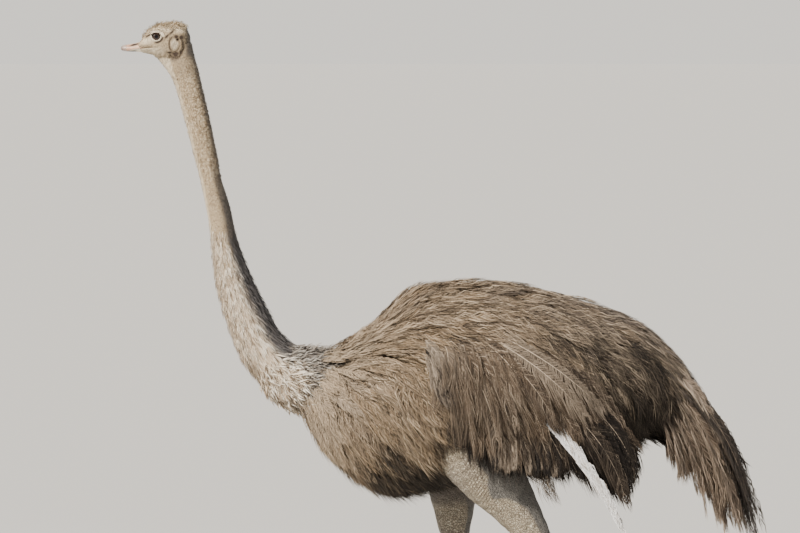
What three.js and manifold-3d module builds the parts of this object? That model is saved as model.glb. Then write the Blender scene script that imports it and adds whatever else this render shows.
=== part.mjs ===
// An ostrich hen, life size, standing in mid-stride with her neck raised.
// Millimetres, +Z up. She faces -X, so her left side is at -Y and her right side at +Y.
// Neck and torso are one lofted trunk, parted by thin cuts. Every other piece is lofted from a few
// named sections, and each piece that grows from another is cut clear of it by a hair. Torso, wings
// and tail carry their feathers as overlapping vanes, fused to the node that they grow from.

import * as THREE from "three";
import { mergeVertices } from "three/addons/utils/BufferGeometryUtils.js";
import Module from "manifold-3d";

const wasm = await Module();
wasm.setup();

// ---- Driving dimensions -------------------------------------------------------------------------
// A section is [x, y, z, reach above, reach below, reach to each side], from head to tail or, on a
// toe, from tip to root.

const GAP = 0.3; // left between nodes that touch
const FEATHER_GAP = 0.9; // by which body feathers are swelled to cut wings and tail clear of them
const WELD = 1e-4; // corners closer than this are one
const LEFT = -1;
const RIGHT = 1;
const SIDES = { left: LEFT, right: RIGHT };

const TRUNK_SECTIONS = [
  [-730, 0, 1928, 38, 40, 32], // inside the skull
  [-721, 0, 1878, 42, 43, 35], // nape
  [-706, 0, 1826, 37, 37, 32],
  [-679, 0, 1719, 34, 34, 30],
  [-653, 0, 1607, 31, 31, 28],
  [-640, 0, 1546, 29, 29, 28], // thinnest
  [-620, 0, 1462, 36, 33, 31],
  [-602, 0, 1369, 41, 41, 37],
  [-578, 0, 1271, 52, 52, 47],
  [-542, 0, 1176, 61, 61, 55],
  [-496, 0, 1089, 64, 73, 66],
  [-428, 0, 1022, 76, 87, 84], // root of the neck
  [-350, 0, 974, 130, 96, 118],
  [-266, 0, 946, 179, 185, 160], // breast
  [-154, 0, 938, 246, 266, 200],
  [-28, 0, 949, 305, 260, 222], // shoulders
  [112, 0, 974, 300, 246, 230], // hips
  [252, 0, 991, 269, 252, 222],
  [392, 0, 1000, 218, 218, 195],
  [510, 0, 997, 171, 176, 155], // rump
  [594, 0, 974, 118, 150, 112],
  [650, 0, 935, 84, 104, 75], // root of the tail
];
// Rows of the trunk's surface: one to a section along the neck, and closer ones on the torso.
const TRUNK_ROWS = { sides: 16, neckEnd: 11, torsoStep: 2 / 3 };
// Stations, counted in sections: below the jaw, three along the neck, and its root.
const NECK_CUTS = [1.25, 4.4, 7.2, 9.4, 11.5];
const CUT_REACH = 2.8; // width of a cutting sheet, as a share of the section's reach
const DOWN_DEPTH = { from: 11.5, to: 13.4, full: 36 }; // how far the torso's core lies under the tips

const SKULL_SECTIONS = [
  [-848, 0, 1922, 14, 14, 23], // root of the bill
  [-827, 0, 1930, 24, 24, 27],
  [-807, 0, 1937, 38, 37, 34],
  [-790, 0, 1938, 46, 45, 38], // eyes
  [-765, 0, 1936, 53, 49, 39],
  [-740, 0, 1931, 61, 50, 38], // crown
  [-720, 0, 1927, 57, 48, 36],
  [-710, 0, 1924, 47, 40, 28], // back of the head
];
const SKULL_SHAPE = { rings: 12, sides: 16 };
const BILL_SECTIONS = [
  [-893, 0, 1919.5, 3.5, 4, 8], // tip
  [-884, 0, 1919, 8, 7, 14],
  [-868, 0, 1919.5, 10.5, 9, 18],
  [-850, 0, 1920.5, 13, 10.5, 21],
  [-835, 0, 1922, 15, 13, 22],
  [-820, 0, 1923, 16, 13, 21], // held in the head
];
const BILL_SHAPE = { rings: 8, sides: 12 };
// The mouth line in side view, [x, z], from ahead of the bill to the corner of the gape.
const MOUTH_LINE = [
  [-905, 1912],
  [-884, 1913.6],
  [-862, 1916],
  [-842, 1919],
  [-815, 1921.5],
  [-799, 1922.5],
];
const MOUTH = { crease: 1.4, depth: 2.5, width: 100 };
const NOSTRIL = { x: -858, y: 11.5, z: 1929, radii: [13, 4, 2.6], tilt: 0.16 };
const EYE = { x: -794, y: 20, z: 1950, radius: 18.5 };
const LID = { y: 35, radius: 14.5, thick: 2.8, stretch: [1.12, 1, 0.92], turn: [0.12, 0, 0.16] };
const BROW = { x: -793, y: 31, z: 1965, radii: [19, 6.5, 3.6] };
const EAR = {
  x: -738,
  y: 35.5,
  z: 1927,
  radius: 20,
  thick: 3,
  stretch: [0.86, 1, 1.12],
  turn: [0, 0, -0.08],
};
const EAR_CUP = { x: -732, z: 1933, radii: [7, 11, 10] };
// Segments round an eye, round a small hollow or swelling, and of a rim: across and around it.
const ROUNDNESS = { eye: 14, detail: 8, rim: [4, 12] };

const WING_PAD = [
  // station and angle on the trunk that the folded wing's middle line passes over, reach above, below
  { station: 14.8, angle: 66, above: 45, below: 45 },
  { station: 15.5, angle: 70, above: 78, below: 80 },
  { station: 16.3, angle: 76, above: 88, below: 86 },
  { station: 17.2, angle: 84, above: 76, below: 72 },
  { station: 18.0, angle: 95, above: 52, below: 46 },
  { station: 18.6, angle: 105, above: 26, below: 24 },
];
const WING_PAD_THICK = 34;
const WING_INSET = 10; // how far the pad's middle lies inside the outline of the torso
const WING_SHAPE = { rings: 9, sides: 10 };

const TAIL_SECTIONS = [
  [638, 0, 946, 72, 78, 58],
  [684, 0, 882, 58, 58, 50],
  [728, 0, 810, 40, 42, 36],
  [760, 0, 745, 18, 20, 18],
];
const TAIL_SHAPE = { rings: 6, sides: 12 };

// Tiers of feathers in side view: roots and tips run along two lines of [x, z], front to back.
// lift is how far root and tip stand off the flank, and bow how far the middle swings out backwards.
const WING_TIERS = [
  {
    name: "remiges",
    count: 10,
    roots: [[-40, 1030], [42, 1000], [154, 976], [280, 958], [392, 946], [446, 938]],
    tips: [[-6, 842], [110, 764], [240, 712], [350, 700], [470, 722], [552, 790]],
    lift: [-8, 2],
    width: 96,
    rows: 4,
    bow: 26,
  },
  {
    name: "white remiges",
    count: 3,
    roots: [[270, 976], [316, 968], [362, 960]],
    tips: [[430, 664], [510, 570], [528, 650]],
    lift: [-20, -8],
    width: 62,
    rows: 4,
    bow: 34,
  },
  {
    name: "greater coverts",
    count: 7,
    roots: [[-50, 1062], [80, 1055], [240, 1025], [400, 968]],
    tips: [[0, 930], [170, 862], [350, 800], [524, 830]],
    lift: [5, 20],
    width: 104,
    rows: 4,
    bow: 22,
  },
  {
    name: "lesser coverts",
    count: 6,
    roots: [[-56, 1090], [60, 1095], [220, 1075], [380, 1010]],
    tips: [[-10, 1000], [130, 950], [310, 890], [480, 872]],
    lift: [10, 36],
    width: 104,
    rows: 3,
    bow: 16,
  },
  {
    name: "marginal coverts",
    count: 5,
    roots: [[-50, 1112], [50, 1142], [160, 1134], [285, 1092], [395, 1030]],
    tips: [[10, 1050], [120, 1030], [270, 980], [420, 930]],
    lift: [14, 48],
    width: 112,
    rows: 3,
    bow: 10,
  },
];
// Shares of the torso's reach past which plumes no longer follow it round, but hang straight.
const FLANK_TURNS = { above: 0.9, below: 0.37 };
const WING_PLUME_RISE = 0.7; // how much of its rise from the flank a plume has made at its middle

// Tiers of tail plumes, back to front, each spread across by the given half width at root and tip.
const TAIL_TIERS = [
  { count: 5, root: [640, 985], swing: [800, 925], tip: [884, 574], spread: [52, 104], width: 66 },
  { count: 5, root: [672, 930], swing: [786, 850], tip: [846, 590], spread: [46, 90], width: 62 },
  { count: 4, root: [684, 880], swing: [752, 810], tip: [798, 612], spread: [42, 76], width: 60 },
  { count: 3, root: [668, 868], swing: [716, 790], tip: [748, 664], spread: [36, 60], width: 58 },
  { count: 3, root: [644, 882], swing: [672, 826], tip: [692, 720], spread: [34, 52], width: 56 },
  { count: 3, root: [634, 890], swing: [650, 850], tip: [652, 776], spread: [32, 44], width: 54 },
];

// How far a tier's outermost plumes end forward of and above the middle one, and the way they face.
const TAIL_FAN = { forward: 26, upward: 30, facing: [0.8, 0.9, 0.6] };

// Rows of body feathers: station, angles from the midline of the back, how many, and their length.
const BODY_ROWS = [
  { station: 11.95, from: -150, to: 150, count: 8, length: 130, width: 70 },
  { station: 12.5, from: -165, to: 165, count: 8, length: 150, width: 84 },
  { station: 13.15, from: -150, to: 150, count: 9, length: 170, width: 100 },
  { station: 13.8, from: -162, to: 162, count: 9, length: 190, width: 108 },
  { station: 14.5, from: -42, to: 42, count: 3, length: 200, width: 110 },
  { station: 14.45, from: 98, to: 262, count: 5, length: 190, width: 112 },
  { station: 15.1, from: -30, to: 30, count: 2, length: 200, width: 110 },
  { station: 15.15, from: 112, to: 248, count: 4, length: 180, width: 110 },
  { station: 15.7, from: -44, to: 44, count: 3, length: 200, width: 110 },
  { station: 16.3, from: -28, to: 28, count: 2, length: 200, width: 110 },
  { station: 16.9, from: -54, to: 54, count: 4, length: 200, width: 104 },
  { station: 17.5, from: -44, to: 44, count: 3, length: 190, width: 100 },
  { station: 18.1, from: -70, to: 70, count: 5, length: 170, width: 88 },
  { station: 18.7, from: -156, to: 156, count: 7, length: 150, width: 82 },
  { station: 19.3, from: -136, to: 136, count: 7, length: 130, width: 70 },
];
// How deep the root is sunk, how far the tip lies from the outline, and how far the feather droops
// down the flank, in degrees. A stray is how far each feather's own value may be from the usual one.
const BODY_FEATHER = { sunk: 12, tipLift: -3, tipStray: 3, lengthStray: 12, droop: 16, angleStray: 2.5 };
const BODY_VANE = { thick: 7, rows: 3 };
// A vane's thickness over its rib, its width at root and tip as shares of its widest, and how far its
// edges bend inwards. widestAt is a share of its length, from which it tapers and its rib thins.
const PLUME = {
  thick: 6.5,
  rootShare: 0.45,
  tipShare: 0.16,
  camber: 0.1,
  widestAt: 0.4,
  taper: 1.8,
  ribThins: 0.6,
  rows: 4,
};
const PLUME_STRAY = 9; // of a wing or tail plume's tip from its tier's line
const PLUME_STEP = 8; // by which every second plume of a tier stands further out
const TANGENT_STEP = 0.01; // share of a feather's length over which its direction is taken

// Each joint as [x, y, z]. The left leg trails and the right one carries her.
const JOINTS = {
  left: { knee: [8, -120, 876], ankle: [314, -108, 481], foot: [345, -105, 88] },
  right: { knee: [28, 120, 945], ankle: [45, 108, 478], foot: [4, 105, 88] },
};
// Share of the bone, reach behind, reach in front and reach to each side.
const DRUMSTICK = [
  [0.0, 82, 82, 60],
  [0.2, 100, 100, 78],
  [0.42, 88, 88, 66],
  [0.59, 68, 68, 53],
  [0.79, 46, 46, 37],
  [0.93, 33, 33, 29],
  [1.02, 33, 33, 28],
];
const DRUMSTICK_SHAPE = { rings: 8, sides: 12 };
const SHANK = [
  [-0.05, 30, 28, 25],
  [0.0, 42, 36, 33], // ankle
  [0.1, 34, 30, 27],
  [0.25, 27, 25, 21],
  [0.5, 24, 23, 19],
  [0.75, 26, 25, 22],
  [0.92, 31, 31, 29],
  [1.0, 35, 35, 34], // foot joint
];
const SCUTE_STEP = 0.08; // share of a plate's length in which it rises at each end
const SHANK_SCUTES = { count: 10, from: 0.9, to: 6.3, raised: 2.2, halfArc: 75 };
// Toe sections as [forward of the foot joint, out to the side, z, above, below, beside].
const BIG_TOE = [
  [258, -4, 18, 12, 19, 14],
  [236, -4, 24, 19, 26, 22],
  [190, -3, 29, 24, 31, 28],
  [135, -2, 33, 28, 35, 32],
  [86, 0, 42, 32, 44, 35],
  [38, 0, 68, 30, 32, 32],
  [0, 0, 88, 26, 26, 26],
];
const SMALL_TOE = [
  [158, 84, 14, 9, 15, 11],
  [132, 71, 19, 15, 21, 18],
  [92, 52, 25, 20, 27, 22],
  [46, 28, 50, 24, 26, 24],
  [6, 8, 80, 22, 22, 22],
];
const BIG_TOE_SCUTES = { count: 6, from: 0.5, to: 4.9, raised: 2, halfArc: 70 };
const SMALL_TOE_SCUTES = { count: 4, from: 0.5, to: 3.2, raised: 1.6, halfArc: 70 };
const CLAW = [
  [296, -4, 7, 2, 3, 3],
  [282, -4, 13, 6, 8, 7],
  [262, -4, 19, 10, 10, 10],
  [240, -4, 22, 11, 10, 11],
];
const LIMB_SIDES = 9;
const CLAW_SHAPE = { rings: 6, sides: 8 };
const FLOOR = { size: 2000, deep: 200 };

// ---- Solids -------------------------------------------------------------------------------------

// A closed three.js geometry as a solid. Faces that point inwards are turned round.
function solid(geometry) {
  const bare = geometry.clone();
  bare.deleteAttribute("normal");
  bare.deleteAttribute("uv");
  const merged = mergeVertices(bare, WELD);
  const corners = new Uint32Array(merged.index.array);
  const build = () =>
    new wasm.Manifold(
      new wasm.Mesh({
        numProp: 3,
        vertProperties: merged.attributes.position.array,
        triVerts: corners,
      }),
    );
  const made = build();
  if (made.volume() > 0) return made;
  for (let i = 0; i < corners.length; i += 3) {
    [corners[i + 1], corners[i + 2]] = [corners[i + 2], corners[i + 1]];
  }
  return build();
}

function fuse(solids) {
  return solids.reduce((whole, piece) => whole.add(piece));
}

function cut(whole, ...tools) {
  return tools.reduce((rest, tool) => rest.subtract(tool), whole);
}

function largest(whole) {
  return whole.decompose().reduce((a, b) => (b.volume() > a.volume() ? b : a));
}

function box(size, place) {
  return solid(new THREE.BoxGeometry(...size).translate(...place));
}

function ball(radii, place, segments) {
  const shape = new THREE.SphereGeometry(1, segments, Math.round(segments / 2));
  return solid(shape.rotateX(Math.PI / 2).scale(...radii).translate(...place));
}

// ---- Lofts --------------------------------------------------------------------------------------

const ACROSS = new THREE.Vector3(0, 1, 0);

// A row of sections as a line that can be asked for its section at any station.
function spine(sections) {
  const centres = new THREE.CatmullRomCurve3(sections.map((s) => new THREE.Vector3(s[0], s[1], s[2])));
  const reaches = new THREE.CatmullRomCurve3(sections.map((s) => new THREE.Vector3(s[3], s[4], s[5])));
  const last = sections.length - 1;
  const at = (station) => {
    const share = THREE.MathUtils.clamp(station / last, 0, 1);
    const along = centres.getTangent(share);
    const up = new THREE.Vector3().crossVectors(along, ACROSS).normalize();
    const side = new THREE.Vector3().crossVectors(up, along).normalize();
    const reach = reaches.getPoint(share);
    return {
      centre: centres.getPoint(share),
      along,
      up,
      side,
      above: reach.x,
      below: reach.y,
      beside: reach.z,
    };
  };
  return { at, last };
}

// The point on a spine's surface at an angle from the top, raised by lift.
function surfacePoint(line, station, angle, lift = 0) {
  const here = line.at(station);
  const rise = Math.cos(angle) * ((Math.cos(angle) > 0 ? here.above : here.below) + lift);
  return here.centre
    .clone()
    .addScaledVector(here.up, rise)
    .addScaledVector(here.side, Math.sin(angle) * (here.beside + lift));
}

// A closed loft over a spine, with its rows at the given stations, or evenly spaced. lift raises the
// surface, by a length or by a function of station and angle. Its ends are low domes, whose height
// is rounding times the end section's smallest reach.
function loft(line, { rings, stations, sides, lift = 0, rounding = 0.5 }) {
  const rows = stations ?? Array.from({ length: rings }, (_, i) => (i / (rings - 1)) * line.last);
  const raised = typeof lift === "function" ? lift : () => lift;
  const shape = new THREE.SphereGeometry(1, sides, rows.length + 1);
  const places = shape.getAttribute("position");
  for (let i = 0; i < places.count; i++) {
    const row = Math.floor(i / (sides + 1));
    const angle = (((i % (sides + 1)) % sides) / sides) * 2 * Math.PI;
    const station = rows[THREE.MathUtils.clamp(row - 1, 0, rows.length - 1)];
    const place = surfacePoint(line, station, angle, raised(station, angle));
    if (row === 0 || row === rows.length + 1) {
      const end = line.at(station);
      const outward = row === 0 ? -1 : 1;
      const stand = Math.min(end.above, end.below, end.beside) * rounding + raised(station, 0);
      place.copy(end.centre).addScaledVector(end.along, outward * stand);
    }
    places.setXYZ(i, place.x, place.y, place.z);
  }
  return solid(shape);
}

// ---- Scutes -------------------------------------------------------------------------------------

// Rows for a loft whose surface steps up in overlapping plates, and the height of those plates.
// middle is the angle that the plates face, and each one is thickest at its free end.
function scutes(line, { count, from, to, raised, halfArc }, middle, freeEndFirst) {
  const length = (to - from) / count;
  const step = length * SCUTE_STEP;
  const stations = [0, from / 2];
  for (let i = 0; i < count; i++) {
    stations.push(from + i * length + step, from + (i + 1) * length - step);
  }
  stations.push(to + (line.last - to) / 2, line.last);
  const arc = THREE.MathUtils.degToRad(halfArc);
  const lift = (station, angle) => {
    const turn = Math.abs(THREE.MathUtils.euclideanModulo(angle - middle + Math.PI, 2 * Math.PI) - Math.PI);
    if (station < from || station > to || turn > arc) return 0;
    const share = ((station - from) / length) % 1;
    const thick = freeEndFirst ? 1 - share : share;
    return raised * thick * Math.sqrt(Math.cos((turn / arc) * (Math.PI / 2)));
  };
  return { stations, lift };
}

// ---- Feathers -----------------------------------------------------------------------------------

// One feather as a closed vane. Two like sheets, split into triangles the same way, meet along the
// edges and at both ends, and stand apart over the rib. path gives its place, and the way that its
// outer face looks, at a share of its length from root to tip. grow swells it on every side.
function vane(path, shape, grow = 0) {
  const { width, thick, rootShare, tipShare, camber, widestAt, taper, ribThins, rows } = shape;
  const lastStep = path(1).place.sub(path(1 - 1 / rows).place).normalize();
  const sheets = [1, -1].map((face) => {
    const sheet = new THREE.PlaneGeometry(1, 1, 2, rows);
    const places = sheet.getAttribute("position");
    for (let i = 0; i < places.count; i++) {
      const across = (i % 3) - 1;
      const share = Math.floor(i / 3) / rows;
      const { place, along, outward } = path(share);
      const beside = new THREE.Vector3().crossVectors(along, outward).normalize();
      const normal = new THREE.Vector3().crossVectors(beside, along).normalize();
      const widening = THREE.MathUtils.lerp(rootShare, 1, Math.min(share / widestAt, 1));
      const past = Math.max((share - widestAt) / (1 - widestAt), 0);
      const tapering = THREE.MathUtils.lerp(1, tipShare, past ** taper);
      const half = (width / 2) * Math.min(widening, tapering) + 2 * grow;
      const isRib = across === 0 && share !== 0 && share !== 1;
      const rib = isRib ? ((thick / 2) * (1 - ribThins * share) + grow) * face : 0;
      place
        .addScaledVector(beside, across * half)
        .addScaledVector(lastStep, share === 1 ? 2 * grow : 0)
        .addScaledVector(normal, rib - Math.abs(across) * half * camber);
      places.setXYZ(i, place.x, place.y, place.z);
    }
    if (face < 0) sheet.index.array.reverse();
    return sheet;
  });
  return solid(joinSheets(sheets));
}

function joinSheets([outer, inner]) {
  const places = [...outer.attributes.position.array, ...inner.attributes.position.array];
  const first = outer.attributes.position.count;
  const corners = [...outer.index.array, ...Array.from(inner.index.array, (corner) => corner + first)];
  const joined = new THREE.BufferGeometry();
  joined.setAttribute("position", new THREE.Float32BufferAttribute(places, 3));
  joined.setIndex(corners);
  return joined;
}

// The path of a feather along a curve, with its outer face turned to a given side.
function curvePath(curve, outward) {
  return (share) => ({
    place: curve.getPoint(share),
    along: curve.getTangent(share),
    outward: outward.clone(),
  });
}

const jitter = (size) => (THREE.MathUtils.seededRandom() - 0.5) * 2 * size;

// ---- Trunk: neck and torso ----------------------------------------------------------------------

const TRUNK = spine(TRUNK_SECTIONS);

function cuttingSheet(station) {
  const here = TRUNK.at(station);
  const width = CUT_REACH * Math.max(here.above, here.below, here.beside);
  const sheet = new THREE.BoxGeometry(width, width, GAP);
  const turn = new THREE.Quaternion().setFromUnitVectors(new THREE.Vector3(0, 0, 1), here.along);
  sheet.applyQuaternion(turn);
  return solid(sheet.translate(...here.centre.toArray()));
}

// How far the trunk's solid core lies under the outline of its feathers.
function coreDepth(station) {
  return DOWN_DEPTH.full * THREE.MathUtils.smoothstep(station, DOWN_DEPTH.from, DOWN_DEPTH.to);
}

// Skull stub, four lengths of neck and the torso's core, from head to tail.
function trunkPieces(grow = 0) {
  const { sides, neckEnd, torsoStep } = TRUNK_ROWS;
  const stations = Array.from({ length: neckEnd }, (_, i) => i);
  for (let station = neckEnd; station < TRUNK.last + torsoStep / 2; station += torsoStep) {
    stations.push(station);
  }
  const whole = loft(TRUNK, { stations, sides, lift: (station) => grow - coreDepth(station) });
  const parted = cut(whole, ...NECK_CUTS.map(cuttingSheet)).decompose();
  return parted.sort((a, b) => a.boundingBox().max[0] - b.boundingBox().max[0]);
}

// A body feather lies on the trunk from its sunk root to its raised tip, and droops down the flank.
function bodyFeather(row, angle) {
  const spacing = TRUNK.at(row.station + 0.5).centre.distanceTo(TRUNK.at(row.station - 0.5).centre);
  const stations = (row.length + jitter(BODY_FEATHER.lengthStray)) / spacing;
  const droop = THREE.MathUtils.degToRad(BODY_FEATHER.droop) * Math.sin(angle);
  const start = angle + THREE.MathUtils.degToRad(jitter(BODY_FEATHER.angleStray));
  const rootLift = -coreDepth(row.station) - BODY_FEATHER.sunk;
  const tipLift = BODY_FEATHER.tipLift + jitter(BODY_FEATHER.tipStray);
  const point = (share, above) => {
    const station = row.station + stations * share;
    const lift = THREE.MathUtils.lerp(rootLift, tipLift, Math.sin((share * Math.PI) / 2));
    return surfacePoint(TRUNK, station, start + droop * share, lift + above);
  };
  const path = (share) => ({
    place: point(share, 0),
    along: point(share + TANGENT_STEP, 0).sub(point(share - TANGENT_STEP, 0)).normalize(),
    outward: point(share, 1).sub(point(share, 0)).normalize(),
  });
  return (grow) => vane(path, { ...PLUME, ...BODY_VANE, width: row.width }, grow);
}

// Every body feather, as a function that makes it as thick as asked.
function bodyFeathers() {
  return BODY_ROWS.flatMap((row) =>
    Array.from({ length: row.count }, (_, i) => {
      const angle = THREE.MathUtils.lerp(row.from, row.to, i / (row.count - 1));
      return bodyFeather(row, THREE.MathUtils.degToRad(angle));
    }),
  );
}

// ---- Head ---------------------------------------------------------------------------------------

const SKULL = spine(SKULL_SECTIONS);
const BILL = spine(BILL_SECTIONS);

// A sheet that follows the mouth line from x = start to its end.
function mouthSheet(start, thick) {
  const line = MOUTH_LINE.filter(([x]) => x >= start);
  const outline = [
    ...line.map(([x, z]) => new THREE.Vector2(x, z + thick / 2)),
    ...line.toReversed().map(([x, z]) => new THREE.Vector2(x, z - thick / 2)),
  ];
  const depth = MOUTH.width;
  const sheet = new THREE.ExtrudeGeometry(new THREE.Shape(outline), { depth, bevelEnabled: false });
  return solid(sheet.rotateX(Math.PI / 2).translate(0, depth / 2, 0));
}

function bill(lift = 0) {
  return loft(BILL, { ...BILL_SHAPE, lift });
}

// Upper and lower bill, parted along the mouth line.
function bills() {
  const start = MOUTH_LINE[0][0];
  const nostrils = [LEFT, RIGHT].map(nostril);
  const whole = cut(bill(), mouthSheet(start, GAP), ...nostrils);
  return whole.decompose().sort((a, b) => b.boundingBox().max[2] - a.boundingBox().max[2]);
}

function nostril(side) {
  const slot = new THREE.SphereGeometry(1, ROUNDNESS.detail, ROUNDNESS.detail / 2);
  slot.scale(...NOSTRIL.radii).rotateY(NOSTRIL.tilt);
  return solid(slot.translate(NOSTRIL.x, side * NOSTRIL.y, NOSTRIL.z));
}

// An oval rim that lies flat against the side of the head.
function rim({ x, z }, { y, radius, thick, stretch, turn }, side) {
  const shape = new THREE.TorusGeometry(radius, thick, ...ROUNDNESS.rim).rotateX(Math.PI / 2);
  shape.scale(...stretch);
  shape.applyMatrix4(new THREE.Matrix4().makeRotationFromEuler(new THREE.Euler(...turn)));
  return solid(shape.translate(x, y, z).scale(1, side, 1));
}

function eye(side, lift = 0) {
  const radius = EYE.radius + lift;
  return ball([radius, radius, radius], [EYE.x, side * EYE.y, EYE.z], ROUNDNESS.eye);
}

function head(stub) {
  const skull = (lift) => loft(SKULL, { ...SKULL_SHAPE, lift });
  const pieces = [skull(0), stub];
  const crease = mouthSheet(BILL_SECTIONS.at(-2)[0], MOUTH.crease).subtract(skull(-MOUTH.depth));
  const hollows = [bill(GAP), crease];
  for (const side of [LEFT, RIGHT]) {
    const earCup = [EAR_CUP.x, side * (EAR.y + EAR.thick), EAR_CUP.z];
    pieces.push(
      rim(EYE, LID, side),
      ball(BROW.radii, [BROW.x, side * BROW.y, BROW.z], ROUNDNESS.detail),
      rim(EAR, EAR, side),
    );
    hollows.push(eye(side, GAP), ball(EAR_CUP.radii, earCup, ROUNDNESS.detail));
  }
  return largest(cut(fuse(pieces), ...hollows));
}

// ---- Wings --------------------------------------------------------------------------------------

// The station whose section stands over x, on the torso.
function stationAt(x) {
  let low = NECK_CUTS.at(-1);
  let high = TRUNK.last;
  while (high - low > WELD) {
    const middle = (low + high) / 2;
    if (TRUNK.at(middle).centre.x < x) low = middle;
    else high = middle;
  }
  return low;
}

// Half the width of the feathered torso at a point in side view, up to where plumes leave it.
function flank(x, z) {
  const here = TRUNK.at(stationAt(x));
  const rise = z - here.centre.z;
  const share =
    rise > 0
      ? Math.min(rise / here.above, FLANK_TURNS.above)
      : Math.min(-rise / here.below, FLANK_TURNS.below);
  return here.beside * Math.sqrt(1 - share * share);
}

function wingPad(side, lift = 0) {
  const sections = WING_PAD.map(({ station, angle, above, below }) => {
    const place = surfacePoint(TRUNK, station, THREE.MathUtils.degToRad(angle), -WING_INSET);
    return [place.x, side * place.y, place.z, above, below, WING_PAD_THICK];
  });
  return loft(spine(sections), { ...WING_SHAPE, lift });
}

// A spline through points of a side view, asked at a share of its length.
function sideLine(points) {
  const curve = new THREE.CatmullRomCurve3(points.map(([x, z]) => new THREE.Vector3(x, 0, z)));
  return (share) => curve.getPoint(share);
}

// Every second plume of a tier stands a step further out, so that neighbours overlap but don't cross.
function wingPlume(side, tier, i) {
  const share = i / (tier.count - 1);
  const step = (i % 2) * PLUME_STEP;
  const onFlank = (place, lift) => place.setY(side * (flank(place.x, place.z) + lift + step));
  const root = sideLine(tier.roots)(share);
  const stray = new THREE.Vector3(jitter(PLUME_STRAY), 0, jitter(PLUME_STRAY));
  const tip = sideLine(tier.tips)(share).add(stray);
  const middle = root.clone().lerp(tip, 0.5);
  middle.x += tier.bow;
  middle.z += tier.bow / 2;
  const [low, high] = tier.lift;
  const curve = new THREE.CatmullRomCurve3([
    onFlank(root, low),
    onFlank(middle, THREE.MathUtils.lerp(low, high, WING_PLUME_RISE)),
    onFlank(tip, high),
  ]);
  const path = curvePath(curve, new THREE.Vector3(0, side, 0));
  return vane(path, { ...PLUME, width: tier.width, rows: tier.rows });
}

function wing(side, neighbours, plumage) {
  const plumes = WING_TIERS.flatMap((tier) =>
    Array.from({ length: tier.count }, (_, i) => wingPlume(side, tier, i)),
  );
  return largest(cut(wingPad(side).add(fuse(plumes).subtract(plumage)), ...neighbours));
}

// ---- Tail ---------------------------------------------------------------------------------------

function tailPlume(tier, i) {
  const share = i / (tier.count - 1);
  const step = (i % 2) * PLUME_STEP;
  const place = ([x, z], half) => new THREE.Vector3(x - step, THREE.MathUtils.lerp(-half, half, share), z);
  const turn = THREE.MathUtils.lerp(-1, 1, share);
  const [rootHalf, tipHalf] = tier.spread;
  const [back, aside, up] = TAIL_FAN.facing;
  const tip = place(tier.tip, tipHalf);
  tip.x -= TAIL_FAN.forward * turn * turn + jitter(PLUME_STRAY);
  tip.z += TAIL_FAN.upward * turn * turn + jitter(PLUME_STRAY);
  const curve = new THREE.QuadraticBezierCurve3(
    place(tier.root, rootHalf),
    place(tier.swing, (rootHalf + tipHalf) / 2),
    tip,
  );
  const outward = new THREE.Vector3(back, turn * aside, up).normalize();
  return vane(curvePath(curve, outward), { ...PLUME, width: tier.width });
}

function tail(neighbours, plumage) {
  const plumes = TAIL_TIERS.flatMap((tier) =>
    Array.from({ length: tier.count }, (_, i) => tailPlume(tier, i)),
  );
  const core = loft(spine(TAIL_SECTIONS), TAIL_SHAPE);
  return largest(cut(core.add(fuse(plumes).subtract(plumage)), ...neighbours));
}

// ---- Legs ---------------------------------------------------------------------------------------

function limb(from, to, sections) {
  const start = new THREE.Vector3(...from);
  const end = new THREE.Vector3(...to);
  const rows = sections.map(([share, behind, front, beside]) => {
    const place = start.clone().lerp(end, share);
    return [place.x, place.y, place.z, behind, front, beside];
  });
  return spine(rows);
}

function thighLimb(name, lift = 0) {
  const { knee, ankle } = JOINTS[name];
  return loft(limb(knee, ankle, DRUMSTICK), { ...DRUMSTICK_SHAPE, lift });
}

function shank(name, grow = 0) {
  const { ankle, foot } = JOINTS[name];
  const line = limb(ankle, foot, SHANK);
  const { stations, lift } = scutes(line, SHANK_SCUTES, Math.PI, false);
  return loft(line, { stations, sides: LIMB_SIDES, lift: (station, angle) => grow + lift(station, angle) });
}

function toeLine(name, sections) {
  const foot = JOINTS[name].foot;
  return spine(
    sections.map(([forward, out, z, ...reaches]) => [
      foot[0] - forward,
      foot[1] + SIDES[name] * out,
      z,
      ...reaches,
    ]),
  );
}

function toe(name, sections, plates, grow = 0) {
  const line = toeLine(name, sections);
  const { stations, lift } = scutes(line, plates, 0, true);
  return loft(line, { stations, sides: LIMB_SIDES, lift: (station, angle) => grow + lift(station, angle) });
}

function leg(name, torsoCore) {
  const floor = box([FLOOR.size, FLOOR.size, FLOOR.deep], [0, 0, -FLOOR.deep / 2]);
  const claw = (lift) => loft(toeLine(name, CLAW), { ...CLAW_SHAPE, lift });
  const bigToe = (grow) => cut(toe(name, BIG_TOE, BIG_TOE_SCUTES, grow), floor);
  const smallToe = cut(toe(name, SMALL_TOE, SMALL_TOE_SCUTES), floor);
  return {
    [`thigh_${name}`]: cut(thighLimb(name), torsoCore, shank(name, GAP)),
    [`shank_${name}`]: shank(name),
    [`toe_big_${name}`]: cut(bigToe(0), shank(name, GAP), claw(GAP)),
    [`toe_small_${name}`]: cut(smallToe, shank(name, GAP), bigToe(GAP)),
    [`claw_${name}`]: cut(claw(0), floor),
  };
}

// ---- Assembly -----------------------------------------------------------------------------------

const SKIN = { color: 0xb5a68c, roughness: 0.8, metalness: 0 };
const PLUMAGE = { color: 0x6f5f4d, roughness: 0.95, metalness: 0 };
const HORN = { color: 0xb8a091, roughness: 0.5, metalness: 0 };
const IRIS = { color: 0x2a1a12, roughness: 0.05, metalness: 0 };

const bird = new THREE.Group();

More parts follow.
